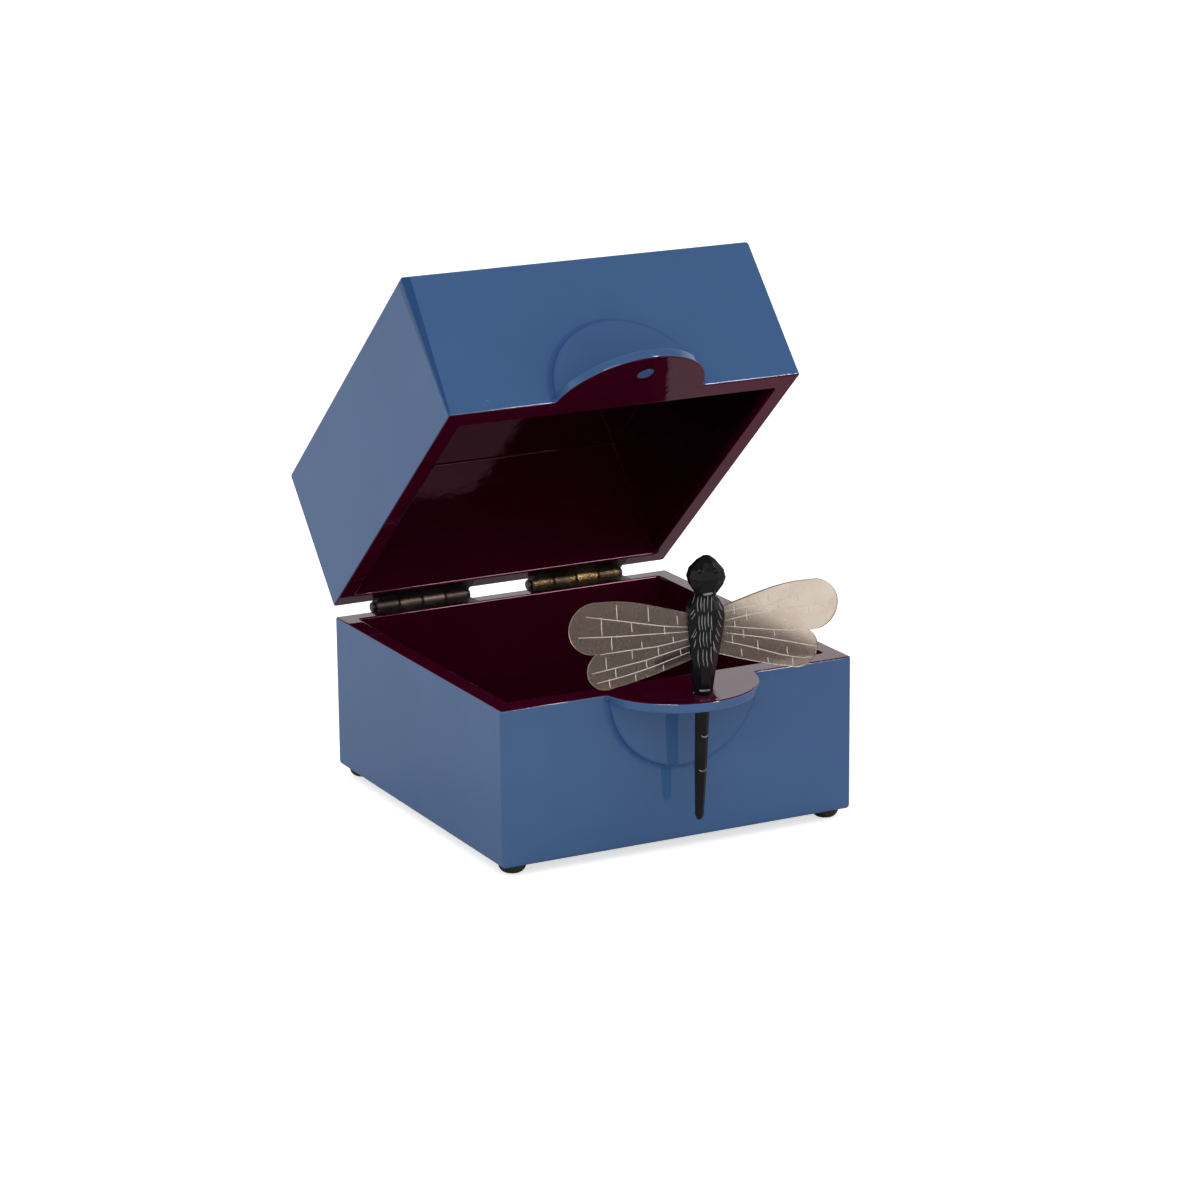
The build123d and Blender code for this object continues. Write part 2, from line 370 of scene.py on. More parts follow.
@dataclass(frozen=True)
class Stance:
    """How the dragonfly stands in the hole of the base's tab."""

    place: Place
    lean_forward: float = radians(2.3)
    lean_side: float = radians(0.6)
    turn: float = radians(6.5)
    view_turn: float = radians(20.7)
    stain_ends: tuple[Flat, Flat] = ((-14.0 * MM, 10.6 * MM), (-3.5 * MM, 13.8 * MM))

    def own(self) -> Matrix:
        """Finds the dragonfly's place.

        Returns:
            From its own frame, with the seat at the origin and the tail down, to its place.
        """
        site = self.place
        hole = Vector((site.middle_x + site.pin_x, site.middle_y - site.half_d - site.pin_ahead,
                       site.floor_z + site.half_h - site.tab_t / 2))
        lean = Matrix.Rotation(self.lean_forward, 4, "X") @ Matrix.Rotation(self.lean_side, 4, "Y")
        turn = Matrix.Rotation(-self.turn, 4, "Z")
        return Matrix.Translation(hole) @ lean @ turn @ Matrix.Translation((0, 0, site.tab_t / 2))

    def seen(self) -> Matrix:
        """Its frame turned to face the viewpoint, in which the marks of the body are drawn."""
        return self.own() @ Matrix.Rotation(-self.view_turn, 4, "Z")

    def stain(self) -> tuple[Vector, Vector]:
        """Ends of the brown streak near the root of the left wing."""
        return tuple(self.own() @ Vector((x, 0.0, z)) for x, z in self.stain_ends)


# Node trees


class Nodes:
    """Short way to add and link nodes in a tree."""

    def __init__(self, tree: NodeTree) -> None:
        """Keeps the tree."""
        self.tree = tree

    def add(self, kind: str, settings: dict[str, object] | None = None, **inputs: object) -> Node:
        """Adds a node.

        Args:
            kind: Type name of the node.
            settings: The node's own options by name.
            inputs: Values or output sockets by input name, with spaces as underscores.

        Returns:
            The node.
        """
        node = self.tree.nodes.new(kind)
        for name, value in (settings or {}).items():
            setattr(node, name, value)
        return self.feed(node, **inputs)

    def feed(self, node: Node, **inputs: object) -> Node:
        """Fills a node's inputs.

        Args:
            node: The node.
            inputs: Values or output sockets by input name, with spaces as underscores.

        Returns:
            The node.
        """
        for name, value in inputs.items():
            self.put(node.inputs[name.replace("_", " ")], value)
        return node

    def put(self, socket: NodeSocket, value: object) -> None:
        """Links an output to a socket, or sets its value.

        Args:
            socket: The socket.
            value: An output, a value, or a colour without its alpha.
        """
        if isinstance(value, NodeSocket):
            self.tree.links.new(value, socket)
        else:
            socket.default_value = (*value, 1.0) if socket.type == "RGBA" else value

    def math(self, operation: str, first: object, second: object = 0.0, clamp: bool = False) -> NodeSocket:
        """Adds a sum on two values.

        Args:
            operation: The sum.
            first: First value or output.
            second: Second value or output.
            clamp: Whether the result is held between 0 and 1.

        Returns:
            The result.
        """
        node = self.add("ShaderNodeMath", {"operation": operation, "use_clamp": clamp})
        self.put(node.inputs[0], first)
        self.put(node.inputs[1], second)
        return node.outputs[0]

    def vector(self, operation: str, first: object, second: object) -> NodeSocket:
        """Adds a sum on vectors.

        Args:
            operation: The sum.
            first: First vector or output.
            second: Second vector, or the scale of the first.

        Returns:
            The result, which is a value for a distance or a dot product.
        """
        node = self.add("ShaderNodeVectorMath", {"operation": operation})
        self.put(node.inputs[0], first)
        self.put(node.inputs["Scale" if operation == "SCALE" else 1], second)
        return node.outputs["Value" if operation in ("DISTANCE", "DOT_PRODUCT") else "Vector"]

    def mix(self, share: object, first: object, second: object) -> NodeSocket:
        """Adds a mix of two colours.

        Args:
            share: Share of the second colour.
            first: First colour.
            second: Second colour.

        Returns:
            The mixed colour.
        """
        node = self.add("ShaderNodeMix", {"data_type": "RGBA"})
        sockets = {s.identifier: s for s in [*node.inputs, *node.outputs]}
        self.put(sockets["Factor_Float"], share)
        self.put(sockets["A_Color"], first)
        self.put(sockets["B_Color"], second)
        return sockets["Result_Color"]

    def span(self, value: object, given: Flat, wanted: Flat = (0.0, 1.0)) -> NodeSocket:
        """Value brought from a given span to a wanted one, and held within it."""
        limits = {"From_Min": given[0], "From_Max": given[1], "To_Min": wanted[0], "To_Max": wanted[1]}
        return self.add("ShaderNodeMapRange", Value=value, **limits).outputs["Result"]

    def noise(self, at: NodeSocket, scale: object, detail: float = 2.0, rough: float = 0.5) -> NodeSocket:
        """Soft noise at a place."""
        node = self.add("ShaderNodeTexNoise", Vector=at, Scale=scale, Detail=detail, Roughness=rough)
        return node.outputs["Fac"]

    def here(self) -> NodeSocket:
        """Place on the piece, in object coordinates."""
        return self.add("ShaderNodeTexCoord").outputs["Object"]

    def fade(self, gap: NodeSocket, reach: NodeSocket, falloff: NodeSocket) -> NodeSocket:
        """Mask that is full where there is no gap and fades out over a reach."""
        near = self.math("SUBTRACT", 1.0, self.math("DIVIDE", gap, reach), clamp=True)
        return self.math("POWER", near, falloff)


def shader_group(name: str, inputs: dict[str, float | Point],
                 outputs: list[str]) -> tuple[Nodes, object, Node]:
    """Starts a shader node group.

    Args:
        name: Name of the group.
        inputs: Values and vectors with their defaults by name, beside the place on the piece.
        outputs: Names of the values that it gives.

    Returns:
        The group's nodes, its input sockets by name and the node that takes its outputs.
    """
    tree = bpy.data.node_groups.new(name, "ShaderNodeTree")
    tree.interface.new_socket(name="Vector", in_out="INPUT", socket_type="NodeSocketVector")
    for label, value in inputs.items():
        kind = "NodeSocketFloat" if isinstance(value, float) else "NodeSocketVector"
        socket = tree.interface.new_socket(name=label, in_out="INPUT", socket_type=kind)
        socket.default_value = value
    for label in outputs:
        tree.interface.new_socket(name=label, in_out="OUTPUT", socket_type="NodeSocketFloat")
    nodes = Nodes(tree)
    return nodes, nodes.add("NodeGroupInput").outputs, nodes.add("NodeGroupOutput")


def lacquer_flow() -> NodeTree:
    """Builds the group of soft flow waves, fine brush streaks, uneven tone and dust nibs of lacquer.

    Returns:
        The group.
    """
    inputs = {"Waves": 60.0, "Streaks": 520.0, "Streak Height": 0.2, "Patches": 18.0,
              "Nibs": 130.0, "Nib Share": 0.035, "Nib Height": 0.6}
    nodes, given, end = shader_group("lacquer_flow", inputs, ["Height", "Tone", "Nib"])
    at = given["Vector"]
    waves = nodes.noise(at, given["Waves"])
    fine = nodes.noise(at, given["Streaks"], detail=3.0)
    cells = nodes.add("ShaderNodeTexVoronoi", Vector=at, Scale=given["Nibs"])
    chance = nodes.add("ShaderNodeSeparateColor", Color=cells.outputs["Color"])
    rare = nodes.math("LESS_THAN", chance.outputs["Red"], given["Nib Share"])
    nib_edge = (0.02, 0.08)
    nib = nodes.math("MULTIPLY", rare, nodes.span(cells.outputs["Distance"], nib_edge, (1.0, 0.0)))
    height = nodes.math("ADD", waves, nodes.math("MULTIPLY", fine, given["Streak Height"]))
    height = nodes.math("ADD", height, nodes.math("MULTIPLY", nib, given["Nib Height"]))
    tone = nodes.noise(at, given["Patches"], detail=4.0, rough=0.6)
    nodes.feed(end, Height=height, Tone=tone, Nib=nib)
    return nodes.tree


def worn_grain() -> NodeTree:
    """Builds the group of drawn-out grain with speckle, for horn, aged metal and rubber.

    Returns:
        The group.
    """
    inputs = {"Across": 300.0, "Along": 40.0, "Speckle": 900.0, "Grain Height": 0.6, "Speck Height": 0.4}
    nodes, given, end = shader_group("worn_grain", inputs, ["Height", "Tone", "Speck"])
    at = given["Vector"]
    stretch = nodes.add("ShaderNodeCombineXYZ", X=given["Across"], Y=given["Across"], Z=given["Along"])
    grain = nodes.noise(nodes.vector("MULTIPLY", at, stretch.outputs["Vector"]), 1.0, detail=4.0)
    speck = nodes.noise(at, given["Speckle"])
    patch = nodes.noise(at, given["Along"], detail=3.0)
    patch_edge, speck_edge = (0.3, 0.7), (0.52, 0.68)
    drawn = nodes.math("MULTIPLY", grain, given["Grain Height"])
    height = nodes.math("ADD", drawn, nodes.math("MULTIPLY", speck, given["Speck Height"]))
    nodes.feed(end, Height=height, Tone=nodes.span(patch, patch_edge), Speck=nodes.span(speck, speck_edge))
    return nodes.tree


def soft_streak() -> NodeTree:
    """Builds the group of a soft mask round a straight line.

    Returns:
        The group.
    """
    inputs = {"Start": (0.0, 0.0, 0.0), "Along": (1.0, 0.0, 0.0), "Length": 0.01,
              "Reach": 0.001, "End Reach": 0.001, "Falloff": 0.8}
    nodes, given, end = shader_group("soft_streak", inputs, ["Mask"])
    away = nodes.vector("SUBTRACT", given["Vector"], given["Start"])
    dot = nodes.vector("DOT_PRODUCT", away, given["Along"])
    held = nodes.math("MINIMUM", nodes.math("MAXIMUM", dot, 0.0), given["Length"])
    gap = nodes.vector("DISTANCE", away, nodes.vector("SCALE", given["Along"], held))
    share = nodes.math("DIVIDE", held, given["Length"])
    widening = nodes.math("MULTIPLY", share, nodes.math("SUBTRACT", given["End Reach"], given["Reach"]))
    reach = nodes.math("ADD", given["Reach"], widening)
    nodes.feed(end, Mask=nodes.fade(gap, reach, given["Falloff"]))
    return nodes.tree


def cove_shade_ring() -> NodeTree:
    """Builds the group of a soft mask round a circle, for painted shade in the cove at the foot of a raised edge.

    Returns:
        The group.
    """
    inputs = {"Centre": (0.0, 0.0, 0.0), "Radius": 0.02, "Reach": 0.001, "Falloff": 0.7}
    nodes, given, end = shader_group("cove_shade_ring", inputs, ["Mask"])
    away = nodes.vector("DISTANCE", given["Vector"], given["Centre"])
    off = nodes.math("ABSOLUTE", nodes.math("SUBTRACT", away, given["Radius"]))
    nodes.feed(end, Mask=nodes.fade(off, given["Reach"], given["Falloff"]))
    return nodes.tree


@dataclass(frozen=True)
class Groups:
    """Shader groups that the finishes share, built once."""

    flow: NodeTree = field(default_factory=lacquer_flow)
    grain: NodeTree = field(default_factory=worn_grain)
    streak: NodeTree = field(default_factory=soft_streak)
    ring: NodeTree = field(default_factory=cove_shade_ring)


def geometry_group(name: str, kinds: dict[str, str], output: str) -> tuple[Nodes, object, NodeSocket]:
    """Starts a geometry node tree.

    Args:
        name: Name of the tree.
        kinds: Kind of each input by name.
        output: Name of its output.

    Returns:
        The tree's nodes, its input sockets by name and its output socket.
    """
    tree = bpy.data.node_groups.new(name, "GeometryNodeTree")
    for label, kind in kinds.items():
        tree.interface.new_socket(name=label, in_out="INPUT", socket_type="NodeSocket" + kind)
    tree.interface.new_socket(name=output, in_out="OUTPUT", socket_type="NodeSocketGeometry")
    nodes = Nodes(tree)
    return nodes, nodes.add("NodeGroupInput").outputs, nodes.add("NodeGroupOutput").inputs[output]


def painted(nodes: Nodes, geometry: NodeSocket, finish: NodeSocket) -> NodeSocket:
    """Geometry as real meshes with their material, which ends a geometry node tree."""
    real = nodes.add("GeometryNodeRealizeInstances", Geometry=geometry).outputs["Geometry"]
    return nodes.add("GeometryNodeSetMaterial", Geometry=real, Material=finish).outputs["Geometry"]


def engraving_tree() -> NodeTree:
    """Builds the tree that throws drawn lines onto a surface and makes them tapered inlaid strokes.

    Returns:
        The tree.
    """
    kinds = {"Drawing": "Geometry", "Surface": "Object", "Direction": "Vector", "Width": "Float",
             "Lift": "Float", "Taper": "Float", "Steps": "Int", "Finish": "Material"}
    nodes, given, strokes = geometry_group("engraved_strokes", kinds, "Strokes")
    lines = nodes.add("GeometryNodeMeshToCurve", Mesh=given["Drawing"])
    even = nodes.add("GeometryNodeResampleCurve", Curve=lines.outputs["Curve"], Count=given["Steps"])
    surface = nodes.add("GeometryNodeObjectInfo", Object=given["Surface"])
    ray = nodes.add("GeometryNodeRaycast", Target_Geometry=surface.outputs["Geometry"],
                    Ray_Direction=given["Direction"], Ray_Length=1.0)
    missed = nodes.math("SUBTRACT", 1.0, ray.outputs["Is Hit"])
    thrown = nodes.add("GeometryNodeSetPosition", Geometry=even.outputs["Curve"],
                       Selection=ray.outputs["Is Hit"], Position=ray.outputs["Hit Position"],
                       Offset=nodes.vector("SCALE", ray.outputs["Hit Normal"], given["Lift"]))
    kept = nodes.add("GeometryNodeDeleteGeometry", {"domain": "POINT"},
                     Geometry=thrown.outputs["Geometry"], Selection=missed)
    along = nodes.add("GeometryNodeSplineParameter").outputs["Factor"]
    from_middle = nodes.math("ABSOLUTE", nodes.math("SUBTRACT", nodes.math("MULTIPLY", along, 2.0), 1.0))
    narrowing = nodes.math("MULTIPLY", nodes.math("POWER", from_middle, 4.0), given["Taper"])
    radius = nodes.math("MULTIPLY", given["Width"], 0.5)
    profile = nodes.add("GeometryNodeCurvePrimitiveCircle", Resolution=6, Radius=radius)
    bodies = nodes.add("GeometryNodeCurveToMesh", Curve=kept.outputs["Geometry"],
                       Profile_Curve=profile.outputs["Curve"],
                       Scale=nodes.math("SUBTRACT", 1.0, narrowing), Fill_Caps=True)
    nodes.put(strokes, painted(nodes, bodies.outputs["Mesh"], given["Finish"]))
    return nodes.tree


def repeat_tree() -> NodeTree:
    """Builds the tree that puts a copy of a thing at each point, turned by the point's own angle.

    Returns:
        The tree.
    """
    kinds = {"Points": "Geometry", "Thing": "Object", "Axis": "Vector", "Finish": "Material"}
    nodes, given, copies = geometry_group("repeated_screws", kinds, "Copies")
    thing = nodes.add("GeometryNodeObjectInfo", Object=given["Thing"])
    angle = nodes.add("GeometryNodeInputNamedAttribute", {"data_type": "FLOAT"}, Name="angle")
    turn = nodes.add("FunctionNodeAxisAngleToRotation", Axis=given["Axis"], Angle=angle.outputs["Attribute"])
    put = nodes.add("GeometryNodeInstanceOnPoints", Points=given["Points"],
                    Instance=thing.outputs["Geometry"], Rotation=turn.outputs["Rotation"])
    nodes.put(copies, painted(nodes, put.outputs["Instances"], given["Finish"]))
    return nodes.tree


def grow(obj: Object, tree: NodeTree, inputs: dict[str, object]) -> None:
    """Runs a geometry node tree on an object and keeps the result as its plain mesh.

    Args:
        obj: The object with the points or lines.
        tree: The tree.
        inputs: Values of the tree's inputs by name.
    """
    modifier = obj.modifiers.new(tree.name, "NODES")
    modifier.node_group = tree
    sockets = {i.name: i for i in tree.interface.items_tree if i.in_out == "INPUT"}
    for label, value in inputs.items():
        modifier[sockets[label].identifier] = value
    settle(obj)


# Finishes


@dataclass(frozen=True)
class Finish:
    """Shared start of every finish: a Principled shader, object coordinates and a bump."""

    name: str

    def begin(self) -> tuple[Nodes, Material, Node]:
        """Starts the material.

        Returns:
            Its nodes, the material and its Principled shader.
        """
        material = bpy.data.materials.new(self.name)
        material.use_nodes = True
        return Nodes(material.node_tree), material, material.node_tree.nodes["Principled BSDF"]

    def group(self, nodes: Nodes, tree: NodeTree, **inputs: object) -> dict[str, NodeSocket]:
        """Places a shared group on the piece.

        Args:
            nodes: The material's nodes.
            tree: The group.
            inputs: Values of its inputs by name, with spaces as underscores.

        Returns:
            Its outputs by name.
        """
        return nodes.add("ShaderNodeGroup", {"node_tree": tree}, Vector=nodes.here(), **inputs).outputs

    def streak(self, nodes: Nodes, groups: Groups, ends: tuple[Vector, Vector], reaches: Flat) -> NodeSocket:
        """Masks a straight line.

        Args:
            nodes: The material's nodes.
            groups: The shared groups.
            ends: Its ends.
            reaches: How far the mask reaches from it at each end.

        Returns:
            The mask.
        """
        along = ends[1] - ends[0]
        sizes = {"Length": along.length, "Reach": reaches[0], "End_Reach": reaches[1]}
        return self.group(nodes, groups.streak, Start=ends[0], Along=along.normalized(), **sizes)["Mask"]

    def skin(self, nodes: Nodes, groups: Groups, grain: Point) -> dict[str, NodeSocket]:
        """Worn grain on the piece, from how fine it is across and along and how fine its specks are."""
        across, along, speckle = grain
        return self.group(nodes, groups.grain, Across=across, Along=along, Speckle=speckle)

    def bump(self, nodes: Nodes, shader: Node, height: NodeSocket, depth: float, strength: float) -> None:
        """Feeds a height into the shader's normal."""
        node = nodes.add("ShaderNodeBump", Height=height, Distance=depth, Strength=strength)
        nodes.feed(shader, Normal=node.outputs["Normal"])


@dataclass(frozen=True)
class Lacquer(Finish):
    """Glossy brushed lacquer over wood."""

    deep: Colour
    light: Colour
    dust: Colour = (0.55, 0.62, 0.7)
    dust_share: float = 0.35
    gloss_tint: Colour = (1.0, 1.0, 1.0)
    tones: Flat = (0.3, 0.7)
    roughness: Flat = (0.03, 0.045)
    ior: float = 1.47
    wave_depth: float = 0.15 * MM
    wave_strength: float = 0.6

    def painted_shade_on(self, nodes: Nodes, groups: Groups, colour: NodeSocket) -> NodeSocket:
        """Colour with the painted shade of its piece, of which a plain lacquer has none."""
        return colour

    def make(self, groups: Groups) -> Material:
        """Makes the lacquer.

        Args:
            groups: The shared groups.

        Returns:
            Its material.
        """
        nodes, material, shader = self.begin()
        coat = self.group(nodes, groups.flow)
        colour = nodes.mix(nodes.span(coat["Tone"], self.tones), self.deep, self.light)
        colour = self.painted_shade_on(nodes, groups, colour)
        colour = nodes.mix(nodes.math("MULTIPLY", coat["Nib"], self.dust_share), colour, self.dust)
        nodes.feed(shader, Base_Color=colour, Roughness=nodes.span(coat["Tone"], self.tones, self.roughness),
                   IOR=self.ior, Specular_Tint=self.gloss_tint)
        self.bump(nodes, shader, coat["Height"], self.wave_depth, self.wave_strength)
        return material


@dataclass(frozen=True, kw_only=True)
class ShellLacquer(Lacquer):
    """Lacquer of the shells, with painted shade down one rounded edge of the lid and in the coves round the raised
    half-discs.
    """

    edge: tuple[Vector, Vector]
    # Painted shade: a darker blue band down the lid's rounded front left edge
    edge_shade: Colour = (0.016, 0.068, 0.19)
    edge_shade_reach: Flat = (3.2 * MM, 0.7 * MM)
    edge_shade_span: Flat = (0.02, 0.12)
    edge_shade_share: float = 0.95
    discs: tuple[Vector, Vector]
    # Painted shade: darker, deeper blue in the coves round the raised half-discs
    cove_shade: Colour = (0.014, 0.055, 0.23)
    cove_shade_r: float = 25.7 * MM
    cove_shade_reach: float = 1.3 * MM
    cove_shade_share: float = 0.6

    def painted_shade_on(self, nodes: Nodes, groups: Groups, colour: NodeSocket) -> NodeSocket:
        """Adds the painted shade down the lid's edge and in the coves round the half-discs.

        Args:
            nodes: The material's nodes.
            groups: The shared groups.
            colour: The plain colour.

        Returns:
            The colour with them.
        """
        # Painted shade down the lid's rounded front left edge
        mask = self.streak(nodes, groups, self.edge, self.edge_shade_reach)
        share = nodes.span(mask, self.edge_shade_span, (0.0, self.edge_shade_share))
        colour = nodes.mix(share, colour, self.edge_shade)
        # Painted shade in the cove round each raised half-disc
        for middle in self.discs:
            ring = self.group(nodes, groups.ring, Centre=middle, Radius=self.cove_shade_r, Reach=self.cove_shade_reach)
            colour = nodes.mix(nodes.math("MULTIPLY", ring["Mask"], self.cove_shade_share), colour, self.cove_shade)
        return colour


@dataclass(frozen=True, kw_only=True)
class HollowLacquer(Lacquer):
    """Lacquer of the lid's lining, with painted shade that goes nearly black towards the deep front right corner.
    """

    hollow: tuple[Vector, Vector, Vector]
    # Painted shade: nearly black towards the lid's deep front right corner, below the rim
    dim: Colour = (0.001, 0.0002, 0.0008)
    painted_shade_reach: float = 135 * MM
    painted_shade_full: float = 0.62
    painted_shade_share: float = 0.97
    below_rim: Flat = (0.5 * MM, 4 * MM)

    def painted_shade_on(self, nodes: Nodes, groups: Groups, colour: NodeSocket) -> NodeSocket:
        """Adds the painted shade.

        Args:
            nodes: The material's nodes.
            groups: The shared groups.
            colour: The plain colour.

        Returns:
            The colour with it.
        """
        corner, rim, inward = self.hollow
        near = self.group(nodes, groups.streak, Start=corner, Along=inward, Length=1 * MM,
                          Reach=self.painted_shade_reach, End_Reach=self.painted_shade_reach)
        depth = nodes.math("SUBTRACT", nodes.vector("DOT_PRODUCT", nodes.here(), inward), rim.dot(inward))
        inside = nodes.span(depth, self.below_rim)
        # Painted shade, strongest at the deep corner
        dim = nodes.span(near["Mask"], (0.0, self.painted_shade_full), (0.0, self.painted_shade_share))
        return nodes.mix(nodes.math("MULTIPLY", inside, dim), colour, self.dim)


@dataclass(frozen=True, kw_only=True)
class AgedBrass(Finish):
    """Brass gone dark, with bright specks on the barrel that are partly wear and partly painted glints, painted
    light that differs by knuckle, and painted shade on the leaves and in the gaps between knuckles.
    """

    dark: Colour
    wear_and_glints: float
    hinge: Vector
    ends: Flat
    # Painted light: how lit each knuckle is painted, from one end of the barrel to the other
    knuckles: tuple[float, ...]
    # Painted shade: away from the barrel, the leaves and the screws in them are painted nearly black
    leaf: Colour = (0.014, 0.006, 0.005)
    # Bright specks on the barrel: partly wear from rubbing, partly painted glints
    bright: Colour = (0.80, 0.52, 0.17)
    # Painted shade in the gaps between knuckles
    gap_shade: Colour = (0.003, 0.002, 0.002)
    barrel_r: float = 2.3 * MM
    beyond_barrel: float = 1.3
    knuckle_gap: Flat = (0.43, 0.455)
    grain: Point = (500.0, 160.0, 2600.0)
    patches: Flat = (0.2, 0.8)
    patch_shares: Flat = (0.1, 1.0)
    rough_span: Flat = (0.3, 0.7)
    roughness: Flat = (0.3, 0.55)
    metallic: float = 0.6
    bump_depth: float = 0.12 * MM
    bump_strength: float = 0.8

    def by_knuckle(self, nodes: Nodes, x: NodeSocket) -> tuple[NodeSocket, NodeSocket]:
        """Tells the knuckles apart.

        Args:
            nodes: The material's nodes.
            x: Place along the barrel.

        Returns:
            How brightly the knuckle there is painted as lit, and a mask of the painted shade in the gaps between
            knuckles.
        """
        along = nodes.math("DIVIDE", nodes.math("SUBTRACT", x, self.ends[0]), self.ends[1] - self.ends[0])
        ramp = nodes.add("ShaderNodeValToRGB", Fac=along)
        ramp.color_ramp.interpolation = "CONSTANT"
        stops = ramp.color_ramp.elements
        count = len(self.knuckles)
        for k, knuckle_light in enumerate(self.knuckles):
            stop = stops[k] if k < 2 else stops.new(k / count)
            stop.position = k / count
            stop.color = (knuckle_light, knuckle_light, knuckle_light, 1)
        within = nodes.math("FRACT", nodes.math("MULTIPLY", along, float(count)))
        off = nodes.math("ABSOLUTE", nodes.math("SUBTRACT", within, 0.5))
        return ramp.outputs["Color"], nodes.span(off, self.knuckle_gap)

    def on_barrel(self, nodes: Nodes, spot: Node) -> NodeSocket:
        """Masks the barrel.

        Args:
            nodes: The material's nodes.
            spot: Node that splits the place on the piece.

        Returns:
            The mask, by distance from the hinge line.
        """
        y = nodes.math("SUBTRACT", spot.outputs["Y"], self.hinge.y)
        z = nodes.math("SUBTRACT", spot.outputs["Z"], self.hinge.z)
        squares = nodes.math("ADD", nodes.math("MULTIPLY", y, y), nodes.math("MULTIPLY", z, z))
        reach = (self.barrel_r, self.barrel_r * self.beyond_barrel)
        return nodes.span(nodes.math("SQRT", squares), reach, (1.0, 0.0))

    def make(self, groups: Groups) -> Material:
        """Makes the brass.

        Args:
            groups: The shared groups.

        Returns:
            Its material.
        """
        nodes, material, shader = self.begin()
        wear = self.skin(nodes, groups, self.grain)
        spot = nodes.add("ShaderNodeSeparateXYZ", Vector=nodes.here())
        barrel = self.on_barrel(nodes, spot)
        # Painted light per knuckle, and painted shade in the gaps between them
        knuckle_light, gap = self.by_knuckle(nodes, spot.outputs["X"])
        patchy = nodes.span(wear["Tone"], self.patches, self.patch_shares)
        # Bright specks: partly wear, partly painted glints
        share = nodes.math("MULTIPLY", wear["Speck"], patchy)
        share = nodes.math("MULTIPLY", share, self.wear_and_glints, clamp=True)
        share = nodes.math("MULTIPLY", nodes.math("MULTIPLY", share, barrel), knuckle_light)
        # Painted shade: off the barrel the colour goes to the nearly black leaf colour
        dull = nodes.mix(nodes.math("MULTIPLY", barrel, knuckle_light), self.leaf, self.dark)
        metal = nodes.mix(share, dull, self.bright)
        # Painted shade in the gaps between knuckles
        nodes.feed(shader, Base_Color=nodes.mix(gap, metal, self.gap_shade), Metallic=self.metallic,
                   Roughness=nodes.span(wear["Height"], self.rough_span, self.roughness))
        self.bump(nodes, shader, wear["Height"], self.bump_depth, self.bump_strength)
        return material


@dataclass(frozen=True)
class Grained(Finish):
    """Matt or satin finish of two tones that follow one output of the grain."""

    low: Colour
    high: Colour
    grain: Point
    roughness: Flat
    bump_depth: float
    bump_strength: float = 0.5
    tone_by: str = "Tone"
    rough_by: str = "Height"
    rough_span: Flat = (0.3, 0.7)
    ior: float = 1.5

    def make(self, groups: Groups) -> Material:
        """Makes the finish.

        Args:
            groups: The shared groups.

        Returns:
            Its material.
        """
        nodes, material, shader = self.begin()
        skin = self.skin(nodes, groups, self.grain)
        nodes.feed(shader, Base_Color=nodes.mix(skin[self.tone_by], self.low, self.high), IOR=self.ior,
                   Roughness=nodes.span(skin[self.rough_by], self.rough_span, self.roughness))
        self.bump(nodes, shader, skin["Height"], self.bump_depth, self.bump_strength)
        return material


@dataclass(frozen=True)
class PaleHorn(Finish):
    """Thin frosted horn that lets light through, darker in a streak and with a painted highlight along its rounded
    rim.
    """

    stain: tuple[Vector, Vector]
    stain_reach: Flat = (2.2 * MM, 3.4 * MM)
    clear: Colour = (0.93, 0.82, 0.67)
    cloudy: Colour = (0.85, 0.69, 0.59)
    brown: Colour = (0.05, 0.025, 0.015)
    # Painted highlight along the wing's rounded rim
    rim: Colour = (0.95, 0.80, 0.62)
    grain: Point = (90.0, 140.0, 700.0)
    roughness: Flat = (0.24, 0.30)
    ior: float = 1.3
    passing: float = 0.93

    def make(self, groups: Groups) -> Material:
        """Makes the horn of the wings.

        Args:
            groups: The shared groups.

        Returns:
            Its material.
        """
        nodes, material, shader = self.begin()
        horn = self.skin(nodes, groups, self.grain)
        colour = nodes.mix(horn["Tone"], self.clear, self.cloudy)
        colour = nodes.mix(self.streak(nodes, groups, self.stain, self.stain_reach), colour, self.brown)
        # Painted highlight where the rim turns away from the flat faces
        edge = nodes.add("ShaderNodeAttribute", {"attribute_name": "rim"})
        nodes.feed(shader, Base_Color=nodes.mix(edge.outputs["Fac"], colour, self.rim), IOR=self.ior,
                   Roughness=nodes.span(horn["Tone"], (0.0, 1.0), self.roughness),
                   Transmission_Weight=self.passing)
        return material


